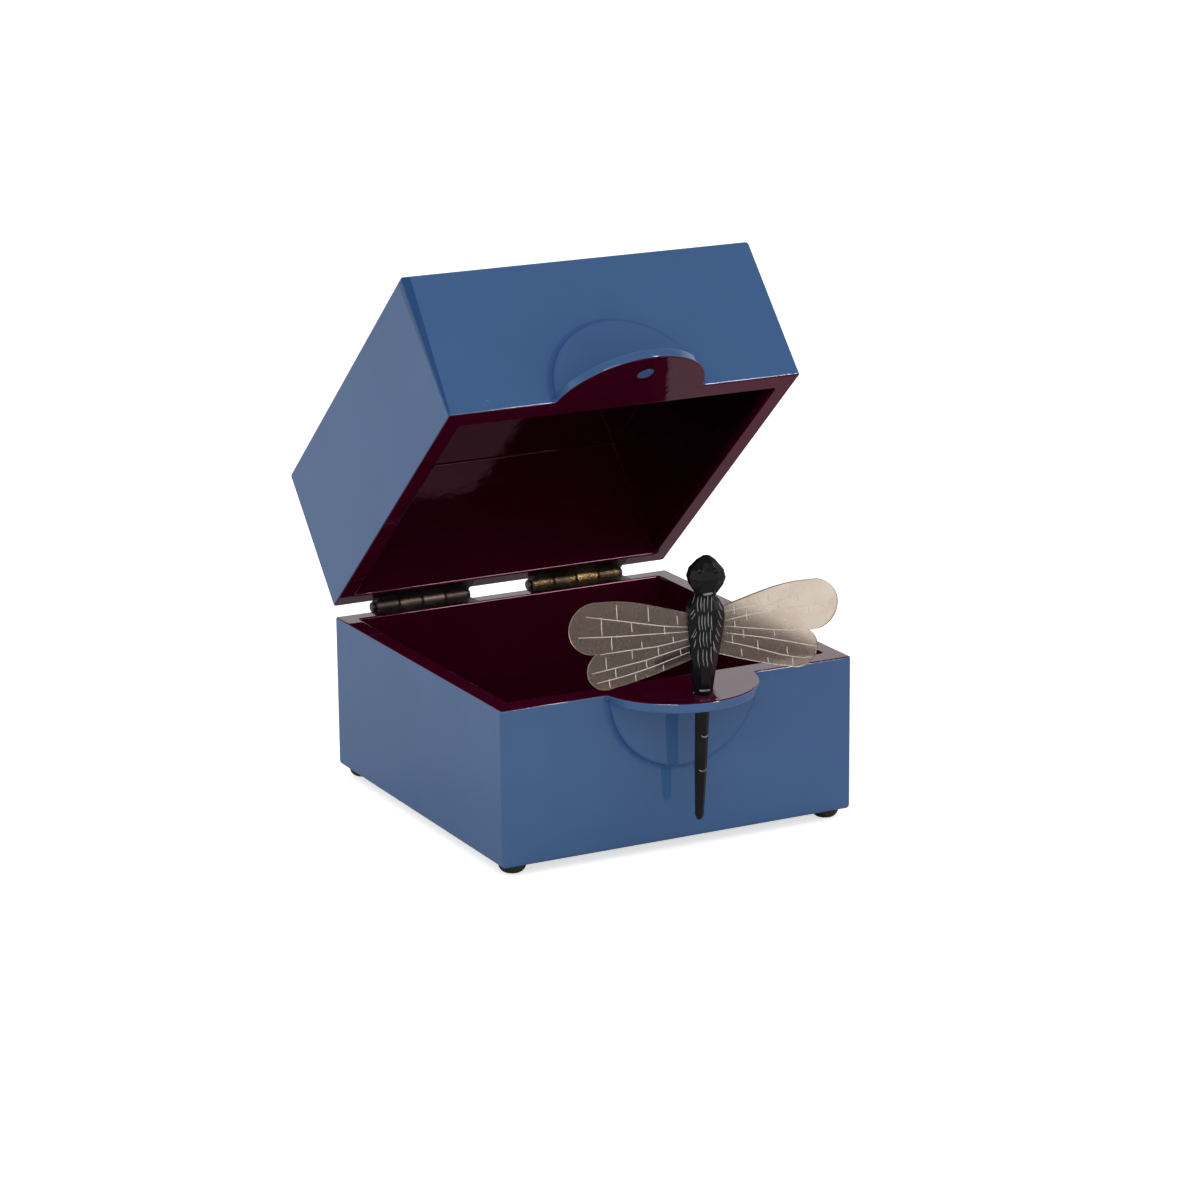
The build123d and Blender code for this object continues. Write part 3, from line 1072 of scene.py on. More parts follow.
class Palette:
    """Every material of the box, made once."""

    def __init__(self, site: Place) -> None:
        """Builds the shared groups and the materials.

        Args:
            site: Where the box stands.
        """
        groups = Groups()
        red = {"dust": (0.2, 0.12, 0.13), "gloss_tint": (1.0, 0.45, 0.62)}
        self.blue = ShellLacquer(
            "blue_lacquer", deep=(0.046, 0.112, 0.258), light=(0.056, 0.130, 0.290),
            edge=site.lid_edge(), discs=site.disc_middles()).make(groups)
        # Painted shade: the lid's lining is a darker copy of the maroon, and darkens further towards its deep
        # corner
        self.maroon_lid = HollowLacquer(
            "maroon_lacquer_lid", deep=(0.040, 0.0008, 0.0100), light=(0.050, 0.0013, 0.0130),
            hollow=site.lid_hollow(), **red).make(groups)
        self.maroon = Lacquer(
            "maroon_lacquer", deep=(0.044, 0.0008, 0.0110), light=(0.056, 0.0013, 0.0145),
            **red).make(groups)
        # Painted light: the left hinge's dark brass and the right hinge's gold brass are shaded and lit copies of
        # one brass, with far more painted glints on the gold one
        self.dark_brass = AgedBrass(
            "dark_brass", dark=(0.11, 0.08, 0.07), wear_and_glints=0.6, hinge=site.hinge,
            ends=site.barrel("left"), knuckles=(0.3, 0.6, 0.9, 0.35)).make(groups)
        self.gold_brass = AgedBrass(
            "gold_brass", dark=(0.09, 0.055, 0.022), wear_and_glints=3.0, hinge=site.hinge,
            ends=site.barrel("right"), knuckles=(0.45, 0.6, 1.0, 0.25)).make(groups)
        self.black_horn = Grained(
            "black_horn", low=(0.0015, 0.0015, 0.002), high=(0.007, 0.007, 0.009),
            grain=(700.0, 90.0, 1800.0), roughness=(0.16, 0.32), bump_depth=0.06 * MM,
            ior=1.32).make(groups)
        self.pale_horn = PaleHorn("pale_horn", Stance(site).stain()).make(groups)
        chalk = {"grain": (900.0, 500.0, 3200.0), "roughness": (0.5, 0.8), "bump_depth": 0.03 * MM}
        self.grey_inlay = Grained(
            "grey_inlay", low=(0.13, 0.13, 0.135), high=(0.34, 0.34, 0.35), **chalk).make(groups)
        self.pale_inlay = Grained(
            "pale_inlay", low=(0.60, 0.54, 0.48), high=(0.80, 0.74, 0.67), **chalk).make(groups)
        self.rubber = Grained(
            "black_rubber", low=(0.008, 0.008, 0.009), high=(0.03, 0.029, 0.028),
            grain=(300.0, 300.0, 1500.0), roughness=(0.6, 0.85), bump_depth=0.05 * MM,
            bump_strength=0.6, tone_by="Speck", rough_by="Tone", rough_span=(0.0, 1.0)).make(groups)


# The two halves


@dataclass
class HalfShell:
    """One half of the box in its own frame: closed face at z = 0, rim at the top, front along -Y."""

    place: Place
    hole_r: float
    side_t: float = 5.8 * MM
    front_t: float = 7.5 * MM
    panel_t: float = 6.4 * MM
    coat_t: float = 0.5 * MM
    coat_angle: float = radians(35)
    corner_r: float = 1.0 * MM
    least_r: float = 0.1 * MM
    edge_r: float = 1.4 * MM
    rim_r: float = 0.55 * MM
    inner_r: float = 0.55 * MM
    core_corner_r: float = 1.3 * MM
    hollow_corner_r: float = 0.8 * MM
    foot_r: float = 0.6 * MM
    cove_r: float = 0.8 * MM
    tab_r: float = 25.5 * MM
    tab_set_back: float = 4.0 * MM
    tab_round: float = 0.9 * MM
    tab_neck_r: float = 1.1 * MM
    boss_r: float = 25.2 * MM
    boss_t: float = 2.05 * MM
    boss_round: float = 0.7 * MM
    boss_slope: Flat = (0.5 * MM, 0.1 * MM)
    boss_under_tab: float = 0.6
    hole_round: float = 0.3 * MM
    bed_slack: float = 0.06 * MM
    round_steps: int = 96
    neck_steps: int = 6
    corner_steps: int = 8
    edge_steps: int = 6
    cove_steps: int = 4
    tab_edge_steps: int = 5
    boss_foot_steps: int = 8
    coat_foot_steps: int = 5
    bare_rim_steps: int = 3
    hole_steps: int = 4
    hole_points: int = 64

    def tab_line(self, inset: float) -> Line:
        """Draws the edge of the tab from left to right, with the coves of its neck.

        Args:
            inset: How far the edge is drawn in.

        Returns:
            Its points.
        """
        x, front = self.place.tab_x, -self.place.half_d
        neck_y = front - self.tab_neck_r
        lift = self.tab_set_back + self.tab_neck_r
        reach = sqrt((self.tab_r + self.tab_neck_r) ** 2 - lift ** 2)
        angle = atan2(lift, reach)
        r = self.tab_neck_r + inset
        left = arc(x - reach, neck_y, r, QUARTER, angle, self.neck_steps)
        round_edge = arc(x, front + self.tab_set_back, self.tab_r - inset, pi + angle, 2 * pi - angle,
                         self.round_steps)
        right = arc(x + reach, neck_y, r, pi - angle, QUARTER, self.neck_steps)
        return left + round_edge[1:-1] + right

    def outline(self, x: float, front: float, back: float, r: float, line: Line | None = None) -> Line:
        """Draws a rounded rectangle, anticlockwise.

        Args:
            x: Half its width.
            front: Distance of its front edge from the middle.
            back: Distance of its back edge from the middle.
            r: Radius of its corners.
            line: Points that take the place of the front edge.

        Returns:
            Its points, which start with the stations along the front.
        """
        points = line or [(px, -front) for px, _ in self.tab_line(0)]
        corners = ((x - r, -front + r), (x - r, back - r), (-x + r, back - r), (-x + r, -front + r))
        for k, (px, py) in enumerate(corners):
            points = points + arc(px, py, r, (k - 1) * QUARTER, k * QUARTER, self.corner_steps)
        return points

    def outside(self, inset: float, line: Line | None = None) -> Line:
        """Outer outline drawn in by an inset."""
        w, d = self.place.half_w - inset, self.place.half_d - inset
        return self.outline(w, d, d, max(self.corner_r - inset, self.least_r), line)

    def hollow(self, out: float, r: float) -> Line:
        """Outline of the hollow, moved out by a distance."""
        w, d = self.place.half_w, self.place.half_d
        return self.outline(w - self.side_t + out, d - self.front_t + out, d - self.place.back_t + out, r)

    def tab_path(self, station: int) -> Ring:
        """Draws a section through the tab.

        Args:
            station: Number of the point on the tab's edge that it goes to.

        Returns:
            Points from the wall out under the tab and up to its top edge.
        """
        low = self.place.half_h - self.place.tab_t
        front = -self.place.half_d
        x, y = self.tab_line(0)[station]
        cove = min(self.cove_r, (front - y) / 3)
        round_r = min(self.tab_round, (front - y) / 3)
        path = [(x, front - cove * (1 - cos(a)), low - cove + cove * sin(a))
                for a in quarter_turn(self.cove_steps)]
        edge = [self.tab_line(round_r * (1 - sin(a)))[station] + (low + round_r * (1 - cos(a)),)
                for a in quarter_turn(self.tab_edge_steps)]
        start, end = path[-1], edge[0]
        path += [tuple(blend(start[k], end[k], s) for k in range(3)) for s in (0.1, 0.5, 0.9)]
        return path + edge

    def tab_rings(self) -> list[Ring]:
        """Draws the wall with the tab growing out of it.

        Returns:
            Rings from below the tab up to its side, which run straight up where there is no tab.
        """
        low = self.place.half_h - self.place.tab_t
        line = self.tab_line(0)
        paths = [self.tab_path(i) for i in range(len(line))]
        count = len(paths[0])
        rings = []
        for k in range(count):
            z = blend(low - self.cove_r, low + self.tab_round, k / (count - 1))
            ring = level(self.outside(0), z)
            for i, path in enumerate(paths):
                share = min(1.0, (-self.place.half_d - line[i][1]) / (2 * self.tab_round))
                share = share * share * (3 - 2 * share)
                ring[i] = tuple(blend(ring[i][axis], path[k][axis], share) for axis in range(3))
            rings.append(ring)
        return rings

    def rim_ring(self, angle: float) -> Ring:
        """Ring on the rounding of the outer rim edge, at an angle from level to straight up."""
        inset, drop = self.rim_r * (1 - cos(angle)), self.rim_r * (1 - sin(angle))
        return level(self.outside(inset, self.tab_line(inset)), self.place.half_h - drop)

    def boss(self) -> Mesh:
        """Builds the raised half-disc, with a rounded edge and a cove at its foot.

        Returns:
            Its mesh, sunk a little into the wall.
        """
        x, top, front = self.place.tab_x, self.place.half_h, -self.place.half_d
        cove = self.boss_t - self.boss_round
        profile = [(self.boss_r - self.boss_round * (1 - sin(a)), cove + self.boss_round * cos(a))
                   for a in quarter_turn(self.edge_steps)]
        foot = [(self.boss_r + cove * (1 - cos(a)), cove * (1 - sin(a)))
                for a in quarter_turn(self.boss_foot_steps)[1:-1]]
        out, down = self.boss_slope
        end = (foot[-1][0] + out, foot[-1][1] - down)
        profile += foot + [end, (end[0], -PAST)]
        start = asin(self.place.tab_t * self.boss_under_tab / self.boss_r)
        angles = [start + (pi - 2 * start) * k / self.round_steps for k in range(self.round_steps + 1)]
        rings = [[(x - r * cos(a), front - d, top - r * sin(a)) for a in angles] for r, d in profile]
        return lofted("boss", list(reversed(rings)))

    def cutters(self) -> Mesh:
        """Builds the tools for the hole in the tab and the two beds of the hinge leaves.

        Returns:
            Their mesh; the hole has rounded rims.
        """
        top = self.place.half_h
        low = top - self.place.tab_t
        q = self.hole_round
        wide = self.hole_r + q
        profile = [(wide, low - PAST)]
        turn = quarter_turn(self.hole_steps)
        profile += [(wide - q * sin(a), low + q * (1 - cos(a))) for a in turn]
        profile += [(wide - q * cos(a), top - q * (1 - sin(a))) for a in turn]
        profile += [(wide, top + PAST)]
        hole_y = -self.place.half_d - self.place.pin_ahead
        tools = bmesh.new()
        tools.from_mesh(lofted("hole", turned(self.place.pin_x, hole_y, profile, self.hole_points)))
        to_half = self.place.base().inverted()
        for side in ("left", "right"):
            lo, hi = (to_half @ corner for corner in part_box("base_hinge_leaf_" + side))
            left, right, front = lo.x - self.bed_slack, hi.x + self.bed_slack, lo.y - self.bed_slack
            flat = [(left, front), (right, front), (right, hi.y), (left, hi.y)]
            tools.from_mesh(lofted("bed", [level(flat, z) for z in (lo.z, top + PAST)]))
        return written(tools, "cutters")

    def shell(self, name: str) -> Object:
        """Builds the blue shell.

        Args:
            name: Its name.

        Returns:
            The shell in the half's own frame.
        """
        edge, bare = self.edge_r, self.bare_rim_steps
        rings = [level(self.outside(edge * (1 - sin(a))), edge * (1 - cos(a)))
                 for a in quarter_turn(self.edge_steps)]
        rings += self.tab_rings()
        rings += [self.rim_ring(self.coat_angle * k / bare) for k in range(bare + 1)]
        ledge = rings[-1][0][2]
        core = self.hollow(self.coat_t, self.core_corner_r)
        rings += [level(core, z) for z in (ledge, self.panel_t - self.coat_t)]
        obj = new_object(name, lofted(name, rings))
        cut(obj, self.boss(), Cut.JOIN)
        cut(obj, self.cutters(), Cut.TAKE_AWAY)
        return obj

    def coat(self, name: str) -> Object:
        """Builds the maroon coat over the inside, the rim and the tab's face.

        Args:
            name: Its name.

        Returns:
            The coat in the half's own frame.
        """
        rest = QUARTER - self.coat_angle
        steps = self.edge_steps
        outer = [self.rim_ring(self.coat_angle + rest * k / steps) for k in range(steps + 1)]
        core = self.hollow(self.coat_t, self.core_corner_r)
        rings = [level(core, z) for z in (self.panel_t - self.coat_t, outer[0][0][2])] + outer
        for a in quarter_turn(steps):
            out = self.inner_r * (1 - sin(a))
            rings.append(level(self.hollow(out, self.hollow_corner_r + out),
                               self.place.half_h - self.inner_r * (1 - cos(a))))
        for a in quarter_turn(self.coat_foot_steps):
            rings.append(level(self.hollow(-self.foot_r * (1 - cos(a)), self.hollow_corner_r),
                               self.panel_t + self.foot_r * (1 - sin(a))))
        obj = new_object(name, lofted(name, rings))
        cut(obj, self.cutters(), Cut.TAKE_AWAY)
        return obj


@dataclass
class Halves:
    """Base and lid of the box."""

    place: Place
    palette: Palette
    base_hole_r: float = 2.4925 * MM
    lid_hole_r: float = 2.5925 * MM

    def build(self) -> None:
        """Builds and dresses the shells and coats of both halves."""
        self.half("base", "base_floor", self.place.base(), self.base_hole_r, self.palette.maroon)
        self.half("lid", "lid_top", self.place.lid(), self.lid_hole_r, self.palette.maroon_lid)

    def half(self, half: str, panel: str, matrix: Matrix, hole_r: float, maroon: Material) -> None:
        """Builds and dresses one half.

        Args:
            half: Which half, as its CAD nodes are named.
            panel: CAD node of its panel.
            matrix: From the half's own frame to its place.
            hole_r: Radius of the hole in its tab.
            maroon: Material of its coat.
        """
        maker = HalfShell(self.place, hole_r)
        shell = maker.shell(half + "_shell")
        coat = maker.coat(half + "_coat")
        for piece in (shell, coat):
            place(piece.data, matrix)
            shade(piece)
        parts = ("front_wall", "back_wall", "left_wall", "right_wall", "tab", "boss")
        dress(shell, self.palette.blue, [panel] + [half + "_" + part for part in parts])
        dress(coat, maroon, [half + "_lining"])


# Feet and hinges


@dataclass
class Feet:
    """Four rubber domes with a small flat, a soft lip and a dimple in the middle."""

    palette: Palette
    width_share: float = 0.9
    flat_share: float = 0.42
    dimple_t: float = 0.25 * MM
    dimple_shares: Flat = (0.45, 0.55)
    sole_share: float = 0.9
    sole_step: float = 0.03 * MM
    dome_share: float = 0.92
    lip_share: float = 0.97
    lip: float = 0.15 * MM
    dome_steps: int = 8
    round_points: int = 48
    crease: float = radians(50)

    def build(self) -> None:
        """Builds and dresses the feet."""
        for row in ("front", "back"):
            for side in ("left", "right"):
                self.foot("foot_" + row + "_" + side)

    def foot(self, node: str) -> None:
        """Builds and dresses one foot.

        Args:
            node: The CAD node that it stands for.
        """
        lo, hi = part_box(node)
        h = hi.z - lo.z
        r = (hi.x - lo.x) / 2 * self.width_share
        flat_r = r * self.flat_share
        profile = [(flat_r * self.dimple_shares[0], self.dimple_t), (flat_r * self.dimple_shares[1], 0.0),
                   (flat_r * self.sole_share, 0.0)]
        profile += [(flat_r + (r - flat_r) * sin(a), h * self.dome_share * (1 - cos(a)) + self.sole_step)
                    for a in quarter_turn(self.dome_steps)]
        profile += [(r, h * self.lip_share), (r - self.lip, h)]
        rings = turned((lo.x + hi.x) / 2, (lo.y + hi.y) / 2, profile, self.round_points)
        obj = new_object(node + "_rubber", lofted(node, rings))
        shade(obj, self.crease)
        dress(obj, self.palette.rubber, [node])


@dataclass
class Hinges:
    """Leaves, pins and slotted countersunk screws of the two hinges."""

    place: Place
    palette: Palette
    round_w: float = 0.22 * MM
    round_steps: int = 3
    sharp: float = radians(32)
    crease: float = radians(40)
    head_points: int = 32
    head_r: float = 1.6 * MM
    head_t: float = 0.9 * MM
    head_edge: float = 0.06 * MM
    shank_r: float = 0.8 * MM
    tip_r: float = 0.15 * MM
    tip_t: float = 1.6 * MM
    length: float = 8.0 * MM
    slot_w: float = 0.45 * MM
    slot_t: float = 0.4 * MM
    slot_past: float = 0.5 * MM
    pitch: float = 20.0 * MM
    inset: float = 0.8 * MM
    turns: Flat = (25.0, 70.0)

    def leaves(self) -> None:
        """Builds and dresses leaves and pins."""
        # Painted light: the right hinge takes the lit copy of the brass
        brass = {"left": self.palette.dark_brass, "right": self.palette.gold_brass}
        for side, material in brass.items():
            pin = "hinge_pin_" + side
            for node in ("base_hinge_leaf_" + side, "lid_hinge_leaf_" + side, pin):
                piece = copy_of_node(node.replace("hinge_", "") + "_brass", node)
                soften(piece, self.round_w, self.round_steps, self.sharp)
                shade(piece, self.crease)
                dress(piece, self.palette.dark_brass if node == pin else material, [node])

    def screw(self) -> Object:
        """Builds a single screw.

        Returns:
            The screw standing in the origin, head up.
        """
        profile = [(self.tip_r, -self.length), (self.shank_r, self.tip_t - self.length),
                   (self.shank_r, -self.head_t), (self.head_r, -self.head_edge),
                   (self.head_r - self.head_edge, 0.0)]
        screw = new_object("screw", lofted("screw", turned(0, 0, profile, self.head_points)))
        w, reach = self.slot_w / 2, self.head_r + self.slot_past
        flat = [(-reach, -w), (reach, -w), (reach, w), (-reach, w)]
        cut(screw, lofted("slot", [level(flat, z) for z in (-self.slot_t, PAST)]), Cut.TAKE_AWAY)
        return screw

    def drive(self, half: str, matrix: Matrix, thing: Object, tree: NodeTree) -> None:
        """Puts the screws into one half's leaves.

        Args:
            half: Which half, as its CAD nodes are named.
            matrix: From the half's own frame to its place.
            thing: The screw.
            tree: Tree that copies it.
        """
        y = self.place.half_d - (self.place.back_t - self.inset) / 2
        points, angles = [], []
        for side in ("left", "right"):
            start, end = self.place.barrel(side)
            middle = (start + end) / 2 - self.place.middle_x
            for way, turn in zip((-1, 1), self.turns):
                points.append((middle + way * self.pitch / 2, y, self.place.half_h))
                angles.append(radians(turn))
        mesh = bpy.data.meshes.new(half + "_screw_points")
        mesh.from_pydata(points, [], [])
        mesh.attributes.new("angle", "FLOAT", "POINT").data.foreach_set("value", angles)
        obj = new_object(half + "_screws_brass", mesh)
        grow(obj, tree, {"Thing": thing, "Axis": (0.0, 0.0, 1.0), "Finish": self.palette.dark_brass})
        place(obj.data, matrix)
        shade(obj)
        dress(obj, self.palette.dark_brass, [half + "_hinge_screws"])

    def build(self, tree: NodeTree) -> None:
        """Builds and dresses the hinges.

        Args:
            tree: Tree that copies the screws.
        """
        self.leaves()
        thing = self.screw()
        self.drive("base", self.place.base(), thing, tree)
        self.drive("lid", self.place.lid(), thing, tree)
        bpy.data.objects.remove(thing)


# The dragonfly


@dataclass(frozen=True)
class Stroke:
    """Shape of an inlaid stroke, with its middle lifted from the surface and its ends narrower."""

    width: float
    lift: float
    taper: float
    steps: int


@dataclass
class Dragonfly:
    """Carved dragonfly that stands in the hole of the base's tab; its marks are drawn in millimetres."""

    stance: Stance
    palette: Palette
    tree: NodeTree
    before_body: float = 12 * MM
    before_wing: float = 1.0 * MM
    body_round: float = 0.16 * MM
    body_steps: int = 2
    body_sharp: float = radians(14)
    body_crease: float = radians(12)
    wing_round: float = 0.4 * MM
    wing_steps: int = 3
    wing_sharp: float = radians(60)
    wing_crease: float = radians(40)
    stroke_crease: float = radians(80)
    eye_r: float = 1.05 * MM
    eye_depth: float = 0.5 * MM
    before_eye: float = 20 * MM
    eyes: tuple[Flat, Flat] = ((-2.2, 39.2), (2.95, 39.2))
    rim_highlight_gain: float = 1.6
    feather: Stroke = Stroke(0.30 * MM, 0.0, 0.75, 9)
    band: Stroke = Stroke(0.85 * MM, -0.12 * MM, 0.2, 9)
    ring: Stroke = Stroke(0.40 * MM, 0.0, 0.5, 12)
    vein: Stroke = Stroke(0.31 * MM, -0.03 * MM, 0.45, 12)
    row_rise: float = 0.35
    row_bow: Flat = (0.22, 0.05)
    side_bow: Flat = (0.4, 0.5)
    ring_sag: float = 0.55
    ring_lift: float = -0.3
    cross_slant: Flat = (0.1, 0.35)

    def feathers(self) -> list[Line]:
        """Draws the strokes on the thorax: four rows down its front and slanted ones down both sides.

        Returns:
            Lines of three points across and up.
        """
        rows = [
            (30.4, 26.4, 0.00, [-2.20, -1.25, -0.35, 0.65, 1.76]),
            (25.5, 20.7, 0.35, [-1.80, -0.95, -0.10, 0.79, 1.74]),
            (20.3, 15.4, 0.35, [-1.38, -0.40, 0.55, 1.62]),
            (14.7, 8.9, 0.55, [-1.80, -0.40, 0.70, 1.95]),
        ]
        lines = []
        for top, low, drift, places in rows:
            for k, x in enumerate(places):
                rise = self.row_rise * k * (k % 2)
                bow = self.row_bow[0] - self.row_bow[1] * k
                middle = (x - bow + drift / 3, (top + low) / 2)
                lines.append([(x, top + rise), middle, (x + drift, low + rise)])
        right = [(3.9, 28.8, 1.3, 2.8), (3.85, 26.6, 1.28, 3.2), (3.84, 23.7, 1.1, 2.8),
                 (3.3, 21.5, 1.27, 3.3), (3.1, 19.3, 1.1, 2.9), (2.5, 17.4, 1.3, 4.4), (2.7, 15.5, 0.5, 1.8)]
        left = [(-2.95, 31.0, -1.0, 2.5), (-3.3, 26.9, -1.3, 1.9), (-2.97, 26.0, -1.1, 2.1),
                (-2.7, 21.2, -1.3, 3.2), (-2.37, 20.4, -1.0, 2.4), (-2.6, 18.0, -0.5, 3.1)]
        across, down = self.side_bow
        for x, z, out, fall in right + left:
            lines.append([(x, z), (x + out * across, z - fall * down), (x + out, z - fall)])
        return lines

    def bands(self) -> list[Line]:
        """Light marks at the neck and the seat."""
        return [[(-0.8, 31.5), (0.6, 31.65), (2.0, 31.9)], [(-1.0, 1.5), (0.5, 1.45), (2.0, 1.55)]]

    def rings(self) -> list[Line]:
        """Two light arcs on the tail."""
        arcs = ((0.95, -13.1, 1.2), (0.6, -24.0, 1.15))
        return [[(x + reach * t, z + self.ring_sag * t * t + self.ring_lift) for t in (-1, -0.5, 0, 0.5, 1)]
                for x, z, reach in arcs]

    def left_veins(self) -> tuple[list[Line], list[Point]]:
        """Draws the left wing's veins.

        Returns:
            Lines fanned out from the root, and strokes across them by place, top and foot.
        """
        fans = [
            [(-37.9, 27.2), (-28.6, 25.3), (-13.3, 22.1), (-5.6, 21.1)],
            [(-40.1, 21.0), (-28.5, 20.3), (-16.7, 20.0), (-5.5, 19.7)],
            [(-33.3, 15.2), (-25.4, 15.6), (-14.9, 16.0), (-5.5, 17.4)],
            [(-35.8, 9.5), (-28.3, 10.6), (-18.6, 12.1), (-4.8, 15.3)],
            [(-34.0, 6.4), (-25.3, 7.8), (-16.5, 9.8), (-4.8, 13.3)],
        ]
        across = [
            (-28.4, 30.1, 25.2), (-18.4, 28.7, 23.9), (-9.1, 24.9, 22.3), (-33.1, 26.5, 20.9),
            (-23.6, 24.3, 21.2), (-13.1, 22.1, 19.4), (-29.8, 20.6, 16.0), (-20.2, 18.2, 15.6),
            (-10.2, 18.6, 16.5), (-31.4, 14.3, 10.3), (-23.2, 15.8, 12.8), (-14.9, 16.0, 13.1),
            (-28.3, 10.6, 7.6), (-18.6, 12.2, 9.7), (-7.8, 14.4, 12.6), (-30.2, 7.5, 4.6),
            (-21.9, 8.2, 5.7), (-13.1, 10.1, 8.0),
        ]
        return fans, across

    def right_veins(self) -> tuple[list[Line], list[Point]]:
        """Draws the right wing's veins.

        Returns:
            Lines fanned out from the root, and strokes across them by place, top and foot.
        """
        fans = [
            [(6.3, 24.9), (12.7, 25.7), (19.9, 25.3), (24.7, 26.9), (33.0, 28.2)],
            [(6.4, 22.0), (13.4, 23.1), (24.8, 24.0), (37.0, 24.4)],
            [(6.5, 20.3), (15.9, 18.7), (25.0, 17.3), (33.5, 16.5)],
            [(6.5, 18.2), (19.0, 15.6), (28.2, 13.3), (36.7, 11.0)],
            [(6.6, 15.6), (16.1, 12.7), (25.3, 9.5), (31.4, 8.0), (35.0, 7.9)],
        ]
        across = [
            (9.0, 26.7, 23.7), (13.1, 24.8, 21.5), (9.4, 21.7, 19.6), (12.3, 18.7, 16.1),
            (8.8, 17.4, 14.3), (22.3, 17.8, 15.5), (17.1, 14.9, 11.7), (11.9, 12.8, 10.3),
            (26.8, 11.9, 9.3), (20.6, 9.2, 7.6), (28.7, 8.3, 5.7), (20.1, 29.0, 26.8),
            (23.5, 25.6, 23.3), (29.7, 28.4, 25.9), (33.5, 24.3, 20.8),
        ]
        return fans, across

    def engrave(self, name: str, lines: list[Line], stroke: Stroke, surface: Object, matrix: Matrix,
                before: float, finish: Material) -> Object:
        """Draws lines before a surface and makes them inlaid strokes on it.

        Args:
            name: Name of the piece.
            lines: Lines as places across and up.
            stroke: Shape of the strokes.
            surface: Piece that they lie on.
            matrix: From the drawing's frame to the row frame.
            before: How far before the dragonfly's axis they are drawn, in metres.
            finish: Material of the filler.

        Returns:
            The piece.
        """
        points, edges = [], []
        for line in lines:
            first = len(points)
            points += [(x * MM, -before, z * MM) for x, z in line]
            edges += [(first + k, first + k + 1) for k in range(len(line) - 1)]
        mesh = bpy.data.meshes.new(name)
        mesh.from_pydata(points, edges, [])
        mesh.transform(matrix)
        piece = new_object(name, mesh)
        ahead = matrix.to_3x3() @ Vector((0, 1, 0))
        grow(piece, self.tree, {
            "Surface": surface, "Direction": tuple(ahead), "Width": stroke.width, "Lift": stroke.lift,
            "Taper": stroke.taper, "Steps": stroke.steps, "Finish": finish,
        })
        shade(piece, self.stroke_crease)
        return piece

    def carving(self) -> Object:
        """Builds the carved body with softened facets and two shallow eye dimples.

        Returns:
            The body.
        """
        body = copy_of_node("dragonfly_carving", "dragonfly_body")
        soften(body, self.body_round, self.body_steps, self.body_sharp)
        seen = self.stance.seen()
        ahead = (seen.to_3x3() @ Vector((0, 1, 0))).normalized()
        cups = []
        for x, z in self.eyes:
            start = seen @ Vector((x * MM, -self.before_eye, z * MM))
            hit, spot, _, _ = body.ray_cast(start, ahead)
            LOG.info("eye found: %s", hit)
            ball = bmesh.new()
            bmesh.ops.create_uvsphere(ball, u_segments=24, v_segments=16, radius=self.eye_r)
            cup = written(ball, "eye")
            cup.transform(Matrix.Translation(spot - ahead * (self.eye_r - self.eye_depth)))
            cups.append(cup)
        for cup in cups:
            cut(body, cup, Cut.TAKE_AWAY)
        shade(body, self.body_crease)
        return body

    def body(self) -> None:
        """Builds and dresses the body and its strokes."""
        node = "dragonfly_body"
        body = self.carving()
        marks = {"feathers": (self.feathers(), self.feather), "bands": (self.bands(), self.band),
                 "rings": (self.rings(), self.ring)}
        pieces = [self.engrave("dragonfly_" + name, lines, stroke, body, self.stance.seen(),
                               self.before_body, self.palette.grey_inlay)
                  for name, (lines, stroke) in marks.items()]
        dress(body, self.palette.black_horn, [node])
        for piece in pieces:
            lay_on(piece, node)

    def wing(self, node: str, fans: list[Line], across: list[Point]) -> None:
        """Builds and dresses one wing and its veins.

        Args:
            node: The CAD node that it stands for.
            fans: Lines fanned out from its root.
            across: Short strokes across them by place, top and foot.
        """
        wing = copy_of_node(node + "_horn", node)
        soften(wing, self.wing_round, self.wing_steps, self.wing_sharp)
        shade(wing, self.wing_crease)
        self.mark_rim_highlight(wing)
        half_way, low_end = self.cross_slant
        lines = fans + [[(x, top), (x + half_way, (top + low) / 2), (x + low_end, low)]
                        for x, top, low in across]
        veins = self.engrave(node + "_veins", lines, self.vein, wing, self.stance.own(),
                             self.before_wing, self.palette.pale_inlay)
        dress(wing, self.palette.pale_horn, [node])
        lay_on(veins, node)

    def mark_rim_highlight(self, wing: Object) -> None:
        """Writes how far each corner of a wing is turned away from its flat faces, for the painted highlight along
        its rim.

        Args:
            wing: The wing.
        """
        flat_way = (self.stance.own().to_3x3() @ Vector((0, 1, 0))).normalized()
        mesh = wing.data
        values = [min(1.0, self.rim_highlight_gain * (1 - abs(v.normal.dot(flat_way)))) for v in mesh.vertices]
        mesh.attributes.new("rim", "FLOAT", "POINT").data.foreach_set("value", values)

    def build(self) -> None:
        """Builds and dresses the body and both wings."""
        self.body()
        self.wing("dragonfly_wing_left", *self.left_veins())
        self.wing("dragonfly_wing_right", *self.right_veins())


# Studio


@dataclass(frozen=True)
class Strip:
    """Long narrow lamp aimed at the box, only for the light lines along its glossy edges."""

    name: str
    start: Point
    end: Point
    width: float
    glow: float


